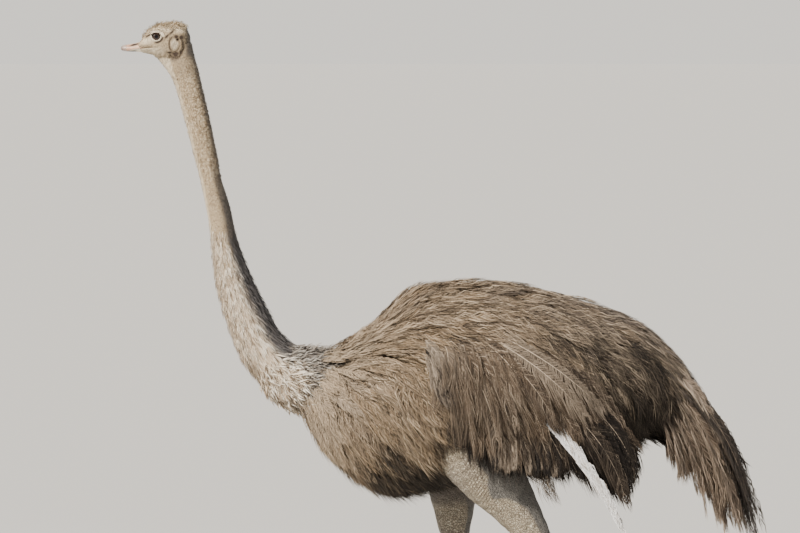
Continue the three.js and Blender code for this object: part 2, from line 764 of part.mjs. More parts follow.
function place(name, piece, finish) {
  const { numProp, vertProperties, triVerts, numVert } = piece.getMesh();
  const places = new Float32Array(numVert * 3);
  for (let i = 0; i < numVert; i++) {
    places.set(vertProperties.subarray(i * numProp, i * numProp + 3), i * 3);
  }
  const shape = new THREE.BufferGeometry();
  shape.setAttribute("position", new THREE.BufferAttribute(places, 3));
  shape.setIndex(new THREE.BufferAttribute(new Uint32Array(triVerts), 1));
  shape.computeVertexNormals();
  const mesh = new THREE.Mesh(shape, new THREE.MeshStandardMaterial(finish));
  mesh.name = name;
  bird.add(mesh);
}

THREE.MathUtils.seededRandom(29);
const [skullStub, neckUpper, neckMiddle, neckLower, neckBase, torsoCore] = trunkPieces();
const grownCore = trunkPieces(GAP)[5];
const grownThighs = Object.keys(SIDES).map((name) => thighLimb(name, GAP));
const grownWings = Object.values(SIDES).map((side) => wingPad(side, GAP));
const grownTail = loft(spine(TAIL_SECTIONS), { ...TAIL_SHAPE, lift: GAP });
const neckSheet = cuttingSheet(NECK_CUTS.at(-1));
const feathers = bodyFeathers();
const grownPlumage = fuse(feathers.map((feather) => feather(FEATHER_GAP)));
const plumage = cut(
  fuse(feathers.map((feather) => feather(0))),
  ...grownThighs,
  ...grownWings,
  grownTail,
  neckSheet,
);
const [billUpper, billLower] = bills();

place("head", head(skullStub), SKIN);
place("bill_upper", billUpper, HORN);
place("bill_lower", billLower, HORN);
place("neck_upper", neckUpper, SKIN);
place("neck_middle", neckMiddle, SKIN);
place("neck_lower", neckLower, PLUMAGE);
place("neck_base", neckBase, PLUMAGE);
place("torso", largest(torsoCore.add(plumage)), PLUMAGE);
place("tail", tail([grownCore], grownPlumage), PLUMAGE);
for (const [name, side] of Object.entries(SIDES)) {
  place(`eye_${name}`, eye(side), IRIS);
  place(`wing_${name}`, wing(side, [grownCore, ...grownThighs], grownPlumage), PLUMAGE);
  for (const [node, piece] of Object.entries(leg(name, grownCore))) {
    const finish = node.startsWith("claw") ? HORN : SKIN;
    place(node, largest(piece), finish);
  }
}

// The frame's origin is on the floor, under the middle of the whole bird.
const reach = new THREE.Box3().setFromObject(bird);
const middle = reach.getCenter(new THREE.Vector3());
bird.position.set(-middle.x, -middle.y, -reach.min.z);

export default bird;
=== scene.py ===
# An ostrich hen, life size, in mid-stride with her neck raised: skin, horn and plumage over her solids.
# Sizes are in millimetres, in the axes that she was drawn in: floor at 0, her head towards -X, her
# left side at -Y. placed() brings them into the frame, in metres.

import math

import bpy
import numpy as np
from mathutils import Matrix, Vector


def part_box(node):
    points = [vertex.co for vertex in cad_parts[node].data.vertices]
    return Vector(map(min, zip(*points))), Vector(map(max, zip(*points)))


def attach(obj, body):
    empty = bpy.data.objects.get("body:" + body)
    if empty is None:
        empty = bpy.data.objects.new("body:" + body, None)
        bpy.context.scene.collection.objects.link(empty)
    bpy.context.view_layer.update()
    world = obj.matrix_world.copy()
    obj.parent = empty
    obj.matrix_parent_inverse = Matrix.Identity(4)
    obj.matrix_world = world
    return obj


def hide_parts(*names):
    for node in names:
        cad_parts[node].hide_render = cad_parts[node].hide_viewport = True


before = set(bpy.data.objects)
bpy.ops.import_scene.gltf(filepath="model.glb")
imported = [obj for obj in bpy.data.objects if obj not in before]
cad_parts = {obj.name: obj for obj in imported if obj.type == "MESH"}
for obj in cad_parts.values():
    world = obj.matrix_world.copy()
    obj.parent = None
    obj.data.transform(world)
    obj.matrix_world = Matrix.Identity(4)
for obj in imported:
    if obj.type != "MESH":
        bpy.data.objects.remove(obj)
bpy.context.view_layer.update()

EYE = {"x": -794, "y": 20, "z": 1950, "radius": 18.5}
eye_low, eye_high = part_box("eye_left")
SHIFT = np.array((eye_low + eye_high) / 2) - np.array([EYE["x"], -EYE["y"], EYE["z"]]) / 1000


def placed(points):
    return np.asarray(points, float) / 1000 + SHIFT


# ---- Studio --------------------------------------------------------------------------------------
# A pale floor that runs on past the view, a soft key light from high on her front left, weaker lamps
# beside and behind her, and an even pale surround.

AIM = (-112, 0, 1309)
CAMERA = {"distance": 22.0, "pitch": 1.53, "lens": 353.6, "sensor": 36.0}
FLOOR_SIZE = 4000.0
FLOOR_COLOURS = {"A": (0.53, 0.52, 0.50, 1), "B": (0.57, 0.56, 0.54, 1)}
LAMP_AIM = (0, 0, 1.0)
KEY = {"from": (-4.3, -4.3, 6.2), "strength": 8.4, "spread": 4.0, "colour": (1.0, 0.94, 0.85)}
# Name, place in metres, width of the lamp, power, colour.
LIGHTS = [
    ("fill", (5.5, -6.0, 2.6), 5.0, 50, (0.9, 0.95, 1.0)),
    ("back", (2.0, 6.5, 4.5), 4.0, 160, (0.95, 0.97, 1.0)),
]
SURROUND = {"colour": (0.84, 0.85, 0.87, 1), "strength": 0.46, "seen": (1.088, 1.036, 0.952, 1)}


def turned_to(place, aim):
    return (Vector(aim) - Vector(place)).to_track_quat("-Z", "Y").to_euler()


aim = placed(AIM)
pitch = math.radians(CAMERA["pitch"])
back_off = np.array([0, -math.cos(pitch), math.sin(pitch)]) * CAMERA["distance"]
camera = bpy.data.objects.new("camera", bpy.data.cameras.new("camera"))
camera.data.lens = CAMERA["lens"]
camera.data.sensor_width = CAMERA["sensor"]
camera.data.clip_end = FLOOR_SIZE
camera.location = aim + back_off
camera.rotation_euler = turned_to(camera.location, aim)
bpy.context.scene.collection.objects.link(camera)
bpy.context.scene.camera = camera

key = bpy.data.objects.new("key", bpy.data.lights.new("key", "SUN"))
key.data.energy = KEY["strength"]
key.data.angle = math.radians(KEY["spread"])
key.data.color = KEY["colour"]
key.location = KEY["from"]
key.rotation_euler = turned_to(KEY["from"], LAMP_AIM)
bpy.context.scene.collection.objects.link(key)

for name, place, width, power, colour in LIGHTS:
    lamp = bpy.data.lights.new(name, "AREA")
    lamp.shape = "DISK"
    lamp.size = width
    lamp.energy = power
    lamp.color = colour
    light = bpy.data.objects.new(name, lamp)
    light.location = place
    light.rotation_euler = turned_to(place, LAMP_AIM)
    light.visible_camera = False
    bpy.context.scene.collection.objects.link(light)

surround = bpy.data.worlds.new("surround")
surround.use_nodes = True
bpy.context.scene.world = surround


def node(tree, kind, settings=None, **inputs):
    """A node with its settings, and its inputs set or linked. A name's _ stands for a space."""
    made = tree.nodes.new(kind)
    for setting, value in (settings or {}).items():
        setattr(made, setting, value)
    for name, value in inputs.items():
        socket = made.inputs[name.replace("_", " ")]
        if isinstance(value, bpy.types.NodeSocket):
            tree.links.new(value, socket)
        else:
            socket.default_value = value
    return made


def finish(name, roughness, specular):
    """A material with its surface shader, whose even values are set on the shader itself."""
    material = bpy.data.materials.new(name)
    material.use_nodes = True
    surface = material.node_tree.nodes["Principled BSDF"]
    surface.inputs["Roughness"].default_value = roughness
    surface.inputs["Specular IOR Level"].default_value = specular
    return material, material.node_tree, surface


def mesh_of(name, points, *face_sets):
    """A mesh from points in metres and from arrays of faces, each with as many corners as it has."""
    mesh = bpy.data.meshes.new(name)
    sizes = np.concatenate([np.full(len(faces), faces.shape[1]) for faces in face_sets])
    corners = np.concatenate([faces.ravel() for faces in face_sets])
    mesh.vertices.add(len(points))
    mesh.vertices.foreach_set("co", np.asarray(points, np.float32).ravel())
    mesh.loops.add(len(corners))
    mesh.loops.foreach_set("vertex_index", corners.astype(np.int32))
    mesh.polygons.add(len(sizes))
    mesh.polygons.foreach_set("loop_start", (np.cumsum(sizes) - sizes).astype(np.int32))
    mesh.update(calc_edges=True)
    return mesh


def shown(name, material, points, *face_sets):
    """A smooth piece of one material, from points in metres and from its faces."""
    mesh = mesh_of(name, points, *face_sets)
    mesh.materials.append(material)
    mesh.polygons.foreach_set("use_smooth", np.full(len(mesh.polygons), True))
    made = bpy.data.objects.new(name, mesh)
    bpy.context.scene.collection.objects.link(made)
    return made


# The far wall of the studio is seen a little brighter than it shines.
tree = surround.node_tree
tree.nodes["Background"].inputs["Color"].default_value = SURROUND["colour"]
tree.nodes["Background"].inputs["Strength"].default_value = SURROUND["strength"]
wall = node(tree, "ShaderNodeBackground", Color=SURROUND["seen"])
seen = node(tree, "ShaderNodeMixShader", Fac=node(tree, "ShaderNodeLightPath").outputs["Is Camera Ray"])
tree.links.new(tree.nodes["Background"].outputs[0], seen.inputs[1])
tree.links.new(wall.outputs[0], seen.inputs[2])
tree.links.new(seen.outputs[0], tree.nodes["World Output"].inputs["Surface"])

floor_finish, tree, surface = finish("pale_floor", 0.85, 0.2)
mottle = node(tree, "ShaderNodeTexNoise", Scale=0.8, Detail=3.0)
blend = {"data_type": "RGBA"}
floor_colour = node(tree, "ShaderNodeMix", blend, Factor=mottle.outputs["Fac"], **FLOOR_COLOURS)
tree.links.new(floor_colour.outputs["Result"], surface.inputs["Base Color"])
half = FLOOR_SIZE / 2
floor_points = [(-half, -half, 0), (half, -half, 0), (half, half, 0), (-half, half, 0)]
floor = shown("floor", floor_finish, floor_points, np.array([[0, 1, 2, 3]]))

# ---- Trunk ---------------------------------------------------------------------------------------
# Her neck and body are one form, from the skull to the root of the tail. Bare hide shows from the
# head half way down the neck, and the rest of it is a loose skin hidden under down and plumes, painted
# near black there as the shade under them.
# A section is [x, y, z, reach above, reach below, reach to each side], numbered from 0 at the head.

TRUNK = [
    [-730, 0, 1928, 38, 40, 32],
    [-721, 0, 1878, 42, 43, 35],
    [-706, 0, 1826, 37, 37, 32],
    [-679, 0, 1719, 34, 34, 30],
    [-653, 0, 1607, 31, 31, 28],
    [-640, 0, 1546, 29, 29, 28],
    [-620, 0, 1462, 36, 33, 31],
    [-602, 0, 1369, 41, 41, 37],
    [-578, 0, 1271, 52, 52, 47],
    [-542, 0, 1176, 61, 61, 55],
    [-496, 0, 1089, 64, 73, 66],
    [-428, 0, 1022, 76, 87, 84],
    [-350, 0, 974, 130, 96, 118],
    [-266, 0, 946, 179, 185, 160],
    [-154, 0, 938, 246, 266, 200],
    [-28, 0, 949, 305, 260, 222],
    [112, 0, 974, 300, 246, 230],
    [252, 0, 991, 269, 252, 222],
    [392, 0, 1000, 218, 218, 195],
    [510, 0, 997, 171, 176, 155],
    [594, 0, 974, 118, 150, 112],
    [650, 0, 935, 84, 104, 75],
]
# How deep the hide lies under the outline of the plumage, by station.
HIDE_DEPTH = {"station": [0, 5.8, 7.5, 11.2, 13.4, 21], "depth": [0.6, 0.8, 7, 10, 40, 36]}
NECK_SHELL = {"from": 1.55, "to": 8.0, "rows": 230, "sides": 72}
BODY_SHELL = {"from": 7.4, "to": 21.0, "rows": 120, "sides": 80}
TUCK = 2.5  # how far a shell's end sinks inside the one that it meets
ACROSS = np.array([0.0, 1.0, 0.0])


def unit(vectors):
    return vectors / np.maximum(np.linalg.norm(vectors, axis=-1, keepdims=True), 1e-9)


def smooth_step(low, high, values):
    share = np.clip((values - low) / (high - low), 0, 1)
    return share * share * (3 - 2 * share)


def bell(distance, width):
    return np.exp(-((distance / width) ** 2))


def section_at(sections, station):
    """A form's section at any station, on smooth curves through its rows."""
    sections = np.asarray(sections, float)
    last = len(sections) - 1
    station = np.clip(np.asarray(station, float), 0, last)
    start = np.minimum(station.astype(int), last - 1)
    share = (station - start)[..., None]
    before, first, second, after = (sections[np.clip(start + k, 0, last)] for k in (-1, 0, 1, 2))
    leave = (second - before) / 2
    arrive = (after - first) / 2
    bend = 2 * first - 2 * second + leave + arrive
    sag = -3 * first + 3 * second - 2 * leave - arrive
    return ((bend * share + sag) * share + leave) * share + first


def on_form(sections, station, angle, lift=0.0):
    """Points on a form at stations and angles from its top, raised by lift."""
    station, angle, lift = np.broadcast_arrays(station, angle, lift)
    here = section_at(sections, station)
    ahead = section_at(sections, station + 0.02) - section_at(sections, station - 0.02)
    along = unit(ahead[..., :3])
    up = unit(np.cross(along, ACROSS))
    side = np.cross(up, along)
    rise = np.cos(angle)
    reach = np.where(rise > 0, here[..., 3], here[..., 4]) + lift
    spread = np.sin(angle) * (here[..., 5] + lift)
    return here[..., :3] + up * (rise * reach)[..., None] + side * spread[..., None]


def closed_grid(rows, sides):
    """Faces of a closed shell: quads between its rows of points, and a fan round an end point at each end."""
    row, side = np.meshgrid(np.arange(rows - 1), np.arange(sides), indexing="ij")
    beside = (side + 1) % sides
    corners = [row * sides + side, (row + 1) * sides + side, (row + 1) * sides + beside]
    quads = np.stack(corners + [row * sides + beside], axis=-1).reshape(-1, 4)
    ring = np.arange(sides)
    turn = beside[0]
    end = np.full(sides, rows * sides)
    near = np.stack([end, ring, turn], axis=-1)
    far = np.stack([end + 1, end - sides + turn, end - sides + ring], axis=-1)
    return quads, np.concatenate([near, far])


def tube(sections, stations, sides, lift=0.0):
    """A closed shell over a form: its points, with rows of quads and a fan of triangles at each end.
    lift may be a function of station and angle."""
    angles = np.arange(sides) / sides * 2 * np.pi
    station, angle = np.meshgrid(stations, angles, indexing="ij")
    raised = lift(station, angle) if callable(lift) else np.full(station.shape, float(lift))
    rows = on_form(sections, station, angle, raised)
    ends = rows[[0, -1]].mean(axis=1)
    return np.concatenate([rows.reshape(-1, 3), ends]), *closed_grid(len(stations), sides)


def hide_depth(station):
    return np.interp(station, HIDE_DEPTH["station"], HIDE_DEPTH["depth"])


def nape_pull(station, angle):
    """How far the nape is drawn in, just behind the skull."""
    return 3.5 * bell(station - 0.8, 0.9) * np.clip(np.cos(angle), 0, 1)


def neck_lift(station, angle):
    tucked = 1 - smooth_step(NECK_SHELL["from"], NECK_SHELL["from"] + 0.45, station)
    folds = np.sin(station * 61 + 2 * np.sin(angle * 2)) * np.sin(station * 23 + angle)
    from_top = np.abs((angle + np.pi) % (2 * np.pi) - np.pi)
    groove = 1.5 * bell(from_top - 2.2, 0.14) * smooth_step(1.9, 2.4, station) * smooth_step(6, 4, station)
    return -hide_depth(station) - TUCK * tucked + 0.35 * folds - groove - nape_pull(station, angle)


def body_lift(station, angle):
    tucked = 1 - smooth_step(BODY_SHELL["from"], BODY_SHELL["from"] + 0.5, station)
    return -hide_depth(station) - TUCK * tucked


def neck_place(points):
    """For points on head or neck: the station they lie at, and from -1 in front to 1 behind."""
    stations = np.linspace(0, 11, 200)
    middle = section_at(TRUNK, stations)
    at = np.interp(-points[:, 2], -middle[:, 2], stations)
    here = section_at(TRUNK, at)
    return at, np.clip((points[:, 0] - here[:, 0]) / here[:, 3], -1, 1)


shells = []
for form, lift in ((NECK_SHELL, neck_lift), (BODY_SHELL, body_lift)):
    stations = np.linspace(form["from"], form["to"], form["rows"])
    shells.append(tube(TRUNK, stations, form["sides"], lift))
neck_shell, body_shell = shells

# ---- Wing arms -----------------------------------------------------------------------------------
# Each folded wing is a short fleshy arm that lies along the flank, under all of its plumes.
# Each row is a station and angle on the trunk, and how far the arm reaches above and below there.

WING_ARM = [
    (14.8, 66, 34, 34),
    (15.5, 70, 62, 64),
    (16.3, 76, 70, 68),
    (17.2, 84, 58, 56),
    (18.0, 95, 40, 36),
    (18.6, 105, 20, 18),
]
WING_ARM_THICK = 22
WING_ARM_INSET = 42
WING_ARM_STATION = 16  # where the arms count as lying, for all that grows from the hide


def wing_arm(side):
    rows = []
    for station, angle, above, below in WING_ARM:
        x, y, z = on_form(TRUNK, station, math.radians(angle), -WING_ARM_INSET)
        rows.append([x, side * y, z, above, below, WING_ARM_THICK])
    return tube(rows, np.linspace(0, len(rows) - 1, 24), 20)


# ---- Head ----------------------------------------------------------------------------------------
# The head is thin hide over bone, fused to the neck: a flat skull, the bulge of each eyeball with its
# brow, an ear that is a bristly oval in a brown furrow, and the crease of the gape behind the bill.

SKULL = [
    [-842, 0, 1924, 9, 17, 22.5],
    [-827, 0, 1930, 17, 27, 27],
    [-807, 0, 1937, 34, 41, 34],
    [-790, 0, 1938, 46, 45, 38],
    [-765, 0, 1936, 53, 49, 39],
    [-740, 0, 1931, 59, 50, 38],
    [-724, 0, 1928, 54, 48, 36],
    [-713, 0, 1926, 35, 40, 28],
]
THROAT = [
    [-792, 0, 1914, 12, 13, 15],
    [-777, 0, 1906, 20, 20, 19],
    [-763, 0, 1890, 20, 20, 21],
    [-750, 0, 1872, 20, 19, 22],
    [-738, 0, 1848, 18, 16, 20],
    [-730, 0, 1822, 14, 12, 18],
]
HEAD_VOXEL = 1.5
HEAD_NECK_END = 2.5
ORBIT = {"radius": 21.3, "inset": 0.6}
BROW = {"x": -794, "y": 27, "z": 1967, "reach": (21, 8, 5)}
NAPE = {"x": -722, "z": 1937, "reach": (24, 26, 44)}
EYE_OPENING = {"x": -792.5, "z": 1952, "long": 11.4, "high": 9.0, "low": 10.4, "tilt": -0.06, "square": 2.5}
MOUTH_LINE = [[-905, 1912], [-884, 1913.6], [-862, 1916], [-842, 1919], [-815, 1921.5], [-799, 1922.5]]
GAPE_END = -797
EAR = {"x": -742, "z": 1931, "long": 12.5, "high": 19}
EAR_HOLE = {"x": -733, "z": 1944, "radius": 3.4}
# Brown shades round the ear: x, z, half width, half height and depth of colour.
EAR_SHADES = [
    (-737, 1952, 7, 6, 1.1),
    (-723, 1950, 8, 8, 1.1),
    (-739, 1905, 12, 6, 1.2),
    (-738, 1900, 9, 6, 1.0),
    (-724, 1908, 7, 10, 0.9),
    (-755, 1908, 9, 4, 1.0),
]
# Soft marks and swellings of the hide, in side view: x, z, half width and half height.
OVALS = {
    "gape corner": (-792, 1921, 9, 5),
    "rough lores": (-818, 1943, 15, 11),
    "pale lores": (-820, 1941, 17, 10),
    "pale cheek": (-790, 1911, 24, 14),
    "below ear": (-744, 1889, 15, 9),
    # Painted shade under the down's ragged edge at the root of the neck.
    "neck root shade": (-357, 893, 28, 22),
}


def ball(centre, reach, rows=24, sides=32):
    """A closed ball, as rows of quads between two fans."""
    polar = (np.arange(rows) + 0.5) / rows * np.pi
    angles = np.arange(sides) / sides * 2 * np.pi
    down, turn = np.meshgrid(polar, angles, indexing="ij")
    shape = np.stack([np.cos(down), np.sin(down) * np.sin(turn), np.sin(down) * np.cos(turn)], axis=-1)
    points = np.concatenate([-shape.reshape(-1, 3), [[-1, 0, 0], [1, 0, 0]]])
    quads, fans = closed_grid(rows, sides)
    return points * np.array(reach) + np.array(centre), quads[:, ::-1], fans[:, [0, 2, 1]]


def joined(shells):
    """Several shells as one set of points, quads and triangles."""
    starts = np.cumsum([0] + [len(points) for points, quads, fans in shells])[:-1]
    points = np.concatenate([points for points, quads, fans in shells])
    quads = np.concatenate([shell[1] + start for shell, start in zip(shells, starts)])
    fans = np.concatenate([shell[2] + start for shell, start in zip(shells, starts)])
    return points, quads, fans


def fused(shells, voxel, smoothing):
    """One closed hide round shells that overlap. Gives points, normals and quads."""
    points, quads, fans = joined(shells)
    rough = bpy.data.objects.new("rough", mesh_of("rough", points / 1000, quads, fans))
    bpy.context.scene.collection.objects.link(rough)
    remesh = rough.modifiers.new("remesh", "REMESH")
    remesh.mode = "VOXEL"
    remesh.voxel_size = voxel / 1000
    smooth = rough.modifiers.new("smooth", "SMOOTH")
    smooth.iterations = smoothing
    evaluated = rough.evaluated_get(bpy.context.evaluated_depsgraph_get())
    mesh = bpy.data.meshes.new_from_object(evaluated)
    bpy.data.objects.remove(rough)
    points = np.zeros(len(mesh.vertices) * 3)
    mesh.vertices.foreach_get("co", points)
    normals = np.zeros(len(mesh.vertices) * 3)
    mesh.vertices.foreach_get("normal", normals)
    corners = np.zeros(len(mesh.loops), int)
    mesh.loops.foreach_get("vertex_index", corners)
    bpy.data.meshes.remove(mesh)
    return points.reshape(-1, 3) * 1000, normals.reshape(-1, 3), corners.reshape(-1, 4)


def oval(points, x, z, wide, high):
    """How far points lie from the middle of an oval in side view: 1 at its edge."""
    return np.hypot((points[:, 0] - x) / wide, (points[:, 2] - z) / high)


def spot(points, *place):
    """A soft oval mark, 1 in its middle."""
    return bell(oval(points, *place), 1.0)


def eye_share(points):
    """How far points lie from the middle of the eye in side view: 1 at the edge of the opening."""
    across = points[:, 0] - EYE_OPENING["x"]
    up = points[:, 2] - EYE_OPENING["z"]
    turn = EYE_OPENING["tilt"]
    along = across * math.cos(turn) + up * math.sin(turn)
    rise = up * math.cos(turn) - across * math.sin(turn)
    height = np.where(rise > 0, EYE_OPENING["high"], EYE_OPENING["low"])
    power = np.where(rise > 0, EYE_OPENING["square"], 2.0)
    share = np.abs(along / EYE_OPENING["long"]) ** power + np.abs(rise / height) ** power
    return share ** (1 / power)


def under_eye(points):
    """1 below and behind the middle of the eye, and 0 above and before it."""
    behind = smooth_step(-8, 4, points[:, 0] - EYE["x"])
    return behind * smooth_step(6, -4, points[:, 2] - EYE["z"])


def ear_share(points):
    return oval(points, EAR["x"], EAR["z"], EAR["long"], EAR["high"])


def ear_rim(points):
    """How far round to the rear and below the ear points lie, and where its outer fold runs there."""
    turn = np.arctan2((points[:, 2] - EAR["z"]) / EAR["high"], (points[:, 0] - EAR["x"]) / EAR["long"])
    behind = smooth_step(-0.35, 0.5, np.cos(turn + 0.75))
    return behind, 1.8 + 0.25 * np.cos(turn + 1.0)


def from_ear_hole(points):
    return np.hypot(points[:, 0] - EAR_HOLE["x"], points[:, 2] - EAR_HOLE["z"])


def mouth_height(x):
    line = np.array(MOUTH_LINE)
    return np.interp(x, line[:, 0], line[:, 1])


def head_stub_lift(station, angle):
    tucked = smooth_step(1.75, HEAD_NECK_END, station)
    return -hide_depth(station) - 3 * TUCK * tucked - nape_pull(station, angle)


def eye_centre(side):
    return np.array([EYE["x"], side * EYE["y"], EYE["z"]])


def carve_head(points, normals):
    """Sinks and raises the hide at eyes, ears, gape and throat."""
    x, y, z = points.T
    flank = smooth_step(14, 24, np.abs(y))
    ear = ear_share(points)
    behind, rim = ear_rim(points)
    lift = (1.3 + 0.5 * np.sin(1.3 * x + np.sin(0.7 * z)) * np.sin(1.1 * z)) * bell(ear, 0.8)
    lift = lift - 1.5 * bell(ear - 1.18, 0.16) * np.clip(behind, 0.25, 1)
    lift = lift + 1.1 * bell(ear - rim + 0.35, 0.3) * np.clip(behind, 0.1, 1)
    lift = lift - 1.2 * bell(ear - rim, 0.3) * behind
    lift = lift - 4.5 * bell(from_ear_hole(points), EAR_HOLE["radius"])
    from_mouth = z - mouth_height(x)
    gape = (x < GAPE_END) * bell(from_mouth, 1.6) - 0.5 * bell(from_mouth + 4, 2.5) * (x < GAPE_END)
    lift = lift - 2.2 * gape * smooth_step(GAPE_END, GAPE_END - 9, x)
    lift = lift + 0.9 * bell(oval(points, *OVALS["gape corner"]) - 1, 0.35)
    eye = eye_share(points)
    lift = lift - 1.2 * bell(eye - 2.15, 0.13) * smooth_step(-4, 8, z - EYE["z"])
    lift = lift - 1.3 * bell(eye - 1.55, 0.18) * under_eye(points)
    stripe = bell(z - (1955 - 0.55 * (x + 770)), 5) * smooth_step(-776, -768, x) * smooth_step(-742, -752, x)
    lift = lift - 0.8 * stripe
    lores = spot(points, *OVALS["rough lores"]) * smooth_step(1.3, 1.7, eye)
    lift = lift + 0.55 * lores * np.sin(0.95 * x + 0.3 * z + np.sin(0.4 * z)) - 0.8 * lores
    throat = smooth_step(1916, 1896, z) * smooth_step(-735, -760, x)
    lift = lift + throat * 0.7 * np.sin(x * 0.42 + 1.3 * np.sin(z * 0.21))
    points = points + normals * (lift * flank)[:, None]
    for side in (-1, 1):
        from_eye = points - eye_centre(side)
        reach = np.linalg.norm(from_eye, axis=1, keepdims=True)
        outward = from_eye[:, 1] * side > 4
        socket = (EYE["radius"] - 3.0) / np.maximum(reach, 1e-6)
        sunk = smooth_step(1.28, 1.08, eye_share(points)) * outward
        share = np.where(socket[:, 0] < 1, sunk, 0)[:, None]
        points = points + share * (from_eye * socket - from_eye)
    return points


head_parts = [tube(SKULL, np.linspace(0, len(SKULL) - 1, 60), 64)]
head_parts.append(ball((NAPE["x"], 0, NAPE["z"]), NAPE["reach"]))
head_parts.append(tube(THROAT, np.linspace(0, len(THROAT) - 1, 30), 40))
stub = np.linspace(0.0, HEAD_NECK_END, 60)
head_parts.append(tube(TRUNK, stub, 64, head_stub_lift))
for side in (-1, 1):
    reach = [ORBIT["radius"]] * 3
    head_parts.append(ball((EYE["x"], side * (EYE["y"] - ORBIT["inset"]), EYE["z"]), reach))
    head_parts.append(ball((BROW["x"], side * BROW["y"], BROW["z"]), BROW["reach"]))
head_points, head_normals, head_quads = fused(head_parts, HEAD_VOXEL, 6)
head_shell = (carve_head(head_points, head_normals), head_quads, np.zeros((0, 3), int))


def markings(points):
    """Her markings on head and neck, as four shares: dark hair with painted shade at the neck's root, brown
    furrows, pale skin with painted light down the neck's front, and painted shade under the plumage.
    """
    x, y, z = points.T
    station, back = neck_place(points)
    flank = smooth_step(12, 22, np.abs(y))
    on_head = smooth_step(1880, 1905, z)
    crown_edge = smooth_step(1952 + 0.42 * (x + 850), 1969 + 0.42 * (x + 850), z)
    forehead = crown_edge * smooth_step(-770, -800, x) * on_head
    nape = smooth_step(0.35, 0.95, back) * (1 - on_head) + smooth_step(-719, -703, x) * on_head
    nape = nape * smooth_step(1986, 1972, z)
    stripe = smooth_step(0.05, 0.55, back) * smooth_step(2.2, 6, station) * smooth_step(-405, -440, x)
    dark = np.maximum.reduce([0.85 * forehead, 0.95 * stripe, (0.75 + 0.15 * on_head) * nape])
    ear, eye = ear_share(points), eye_share(points)
    behind, rim = ear_rim(points)
    mottle = 0.5 + 0.5 * np.sin(x * 1.1 + 1.7 * np.sin(z * 0.6)) * np.sin(z * 0.9 + 1.3 * np.sin(x * 0.7))
    ahead = smooth_step(0.1, -0.7, np.cos(np.arctan2(z - EAR["z"] - 6, x - EAR["x"])))
    brown = np.maximum(bell(ear - 1.17, 0.2) * ahead, bell(ear - rim, 0.34) * behind * (0.6 + 0.5 * mottle))
    between = smooth_step(0.95, 1.2, ear) * smooth_step(rim + 0.1, rim - 0.1, ear)
    brown = np.maximum(brown, (0.15 + 0.5 * mottle) * between * behind)
    brown = np.maximum(brown, 0.4 * smooth_step(0.75, 0.2, mottle) * smooth_step(1.05, 0.8, ear))
    for *place, deep in EAR_SHADES:
        brown = np.maximum(brown, 1.3 * deep * spot(points, *place) * (0.75 + 0.35 * mottle))
    brown = np.maximum(brown * flank, 1.3 * bell(from_ear_hole(points), 5.0) * flank)
    below_ear = 0.75 * spot(points, *OVALS["below ear"]) * flank * (0.4 + 0.6 * mottle)
    speckled = smooth_step(1825, 1850, z) * smooth_step(1902, 1885, z) * smooth_step(-0.6, -0.1, back)
    dark = np.maximum.reduce([dark, below_ear, 0.5 * mottle**2 * speckled])
    # Painted shade at the root of the neck, under the down's ragged edge.
    dark = np.maximum(dark, spot(points, *OVALS["neck root shade"]) * (0.3 + 0.9 * mottle))
    crease = 1.3 * bell(eye - 1.52, 0.3) * under_eye(points)
    crease = np.maximum(crease, 0.6 * bell(eye - 2.1, 0.12) * smooth_step(2, 8, z - EYE["z"]))
    crease = np.maximum(crease, 0.4 * bell(x + 817.5 + 0.17 * (z - 1944), 1.6) * bell((z - 1944) / 9, 1))
    line_ahead = bell(z - (EYE["z"] + 12 + 0.49 * (x - EYE["x"] + 7)), 3.6)
    line_ahead = line_ahead * smooth_step(-799, -804, x) * smooth_step(-830, -818, x)
    temple = bell((x + 764) / 6, 1) + 0.9 * bell((x + 749) / 8, 1)
    temple = np.clip(temple, 0, 1) * bell(z - (1952.5 + 0.8 * (x + 764)), 5.0)
    brown = np.maximum.reduce([brown, crease * flank, 1.1 * line_ahead * flank, 1.2 * temple * flank])
    gape = bell(z - mouth_height(x), 1.5) * smooth_step(GAPE_END, GAPE_END - 6, x)
    flush = bell(z - mouth_height(x) - 4.5, 3) * smooth_step(-799, -806, x)
    brown = np.maximum(brown, np.maximum(0.55 * gape, 0.22 * flush) * on_head)
    pale = bell(np.maximum(ear - 0.5, 0), 0.33) * flank * (0.35 + 0.6 * mottle)
    round_eye = np.where(z > EYE_OPENING["z"], 1.75, 1.3)
    pale = np.maximum(pale, bell(np.maximum(eye - round_eye, 0), 0.22) * flank)
    # Paler down the front of the neck: partly the hide's own colour, partly painted light on its lit front
    # edge.
    front = 0.7 * smooth_step(-0.66, -0.86, back) * (1 - on_head) * smooth_step(8, 6, station)
    pale = np.maximum(pale, front)
    lores = spot(points, *OVALS["pale lores"]) * flank
    jaw = bell(z - (mouth_height(x) - 8), 6) * smooth_step(-780, -800, x)
    top = 0.7 * smooth_step(1958, 1972, z) * smooth_step(-706, -716, x) * (0.7 + 0.3 * mottle)
    cheek = 0.55 * spot(points, *OVALS["pale cheek"])
    pale = np.maximum.reduce([pale, lores, jaw * on_head, top, cheek])
    pale = pale * (1 - np.clip(brown, 0, 1))
    # Painted shade on the hide under the plumage of the neck's root.
    under_plume_shade = smooth_step(11.5, 13.0, station) * (z < 1150)
    return np.stack([dark, brown, pale, under_plume_shade], axis=-1)


# ---- Hide of head, neck and body -----------------------------------------------------------------
# Thin, finely creased skin, beige with dark stubble, brown in its furrows and cream round eye and
# ear. It is one piece from bill to tail, and under the plumage it is painted near black, as the shade there.

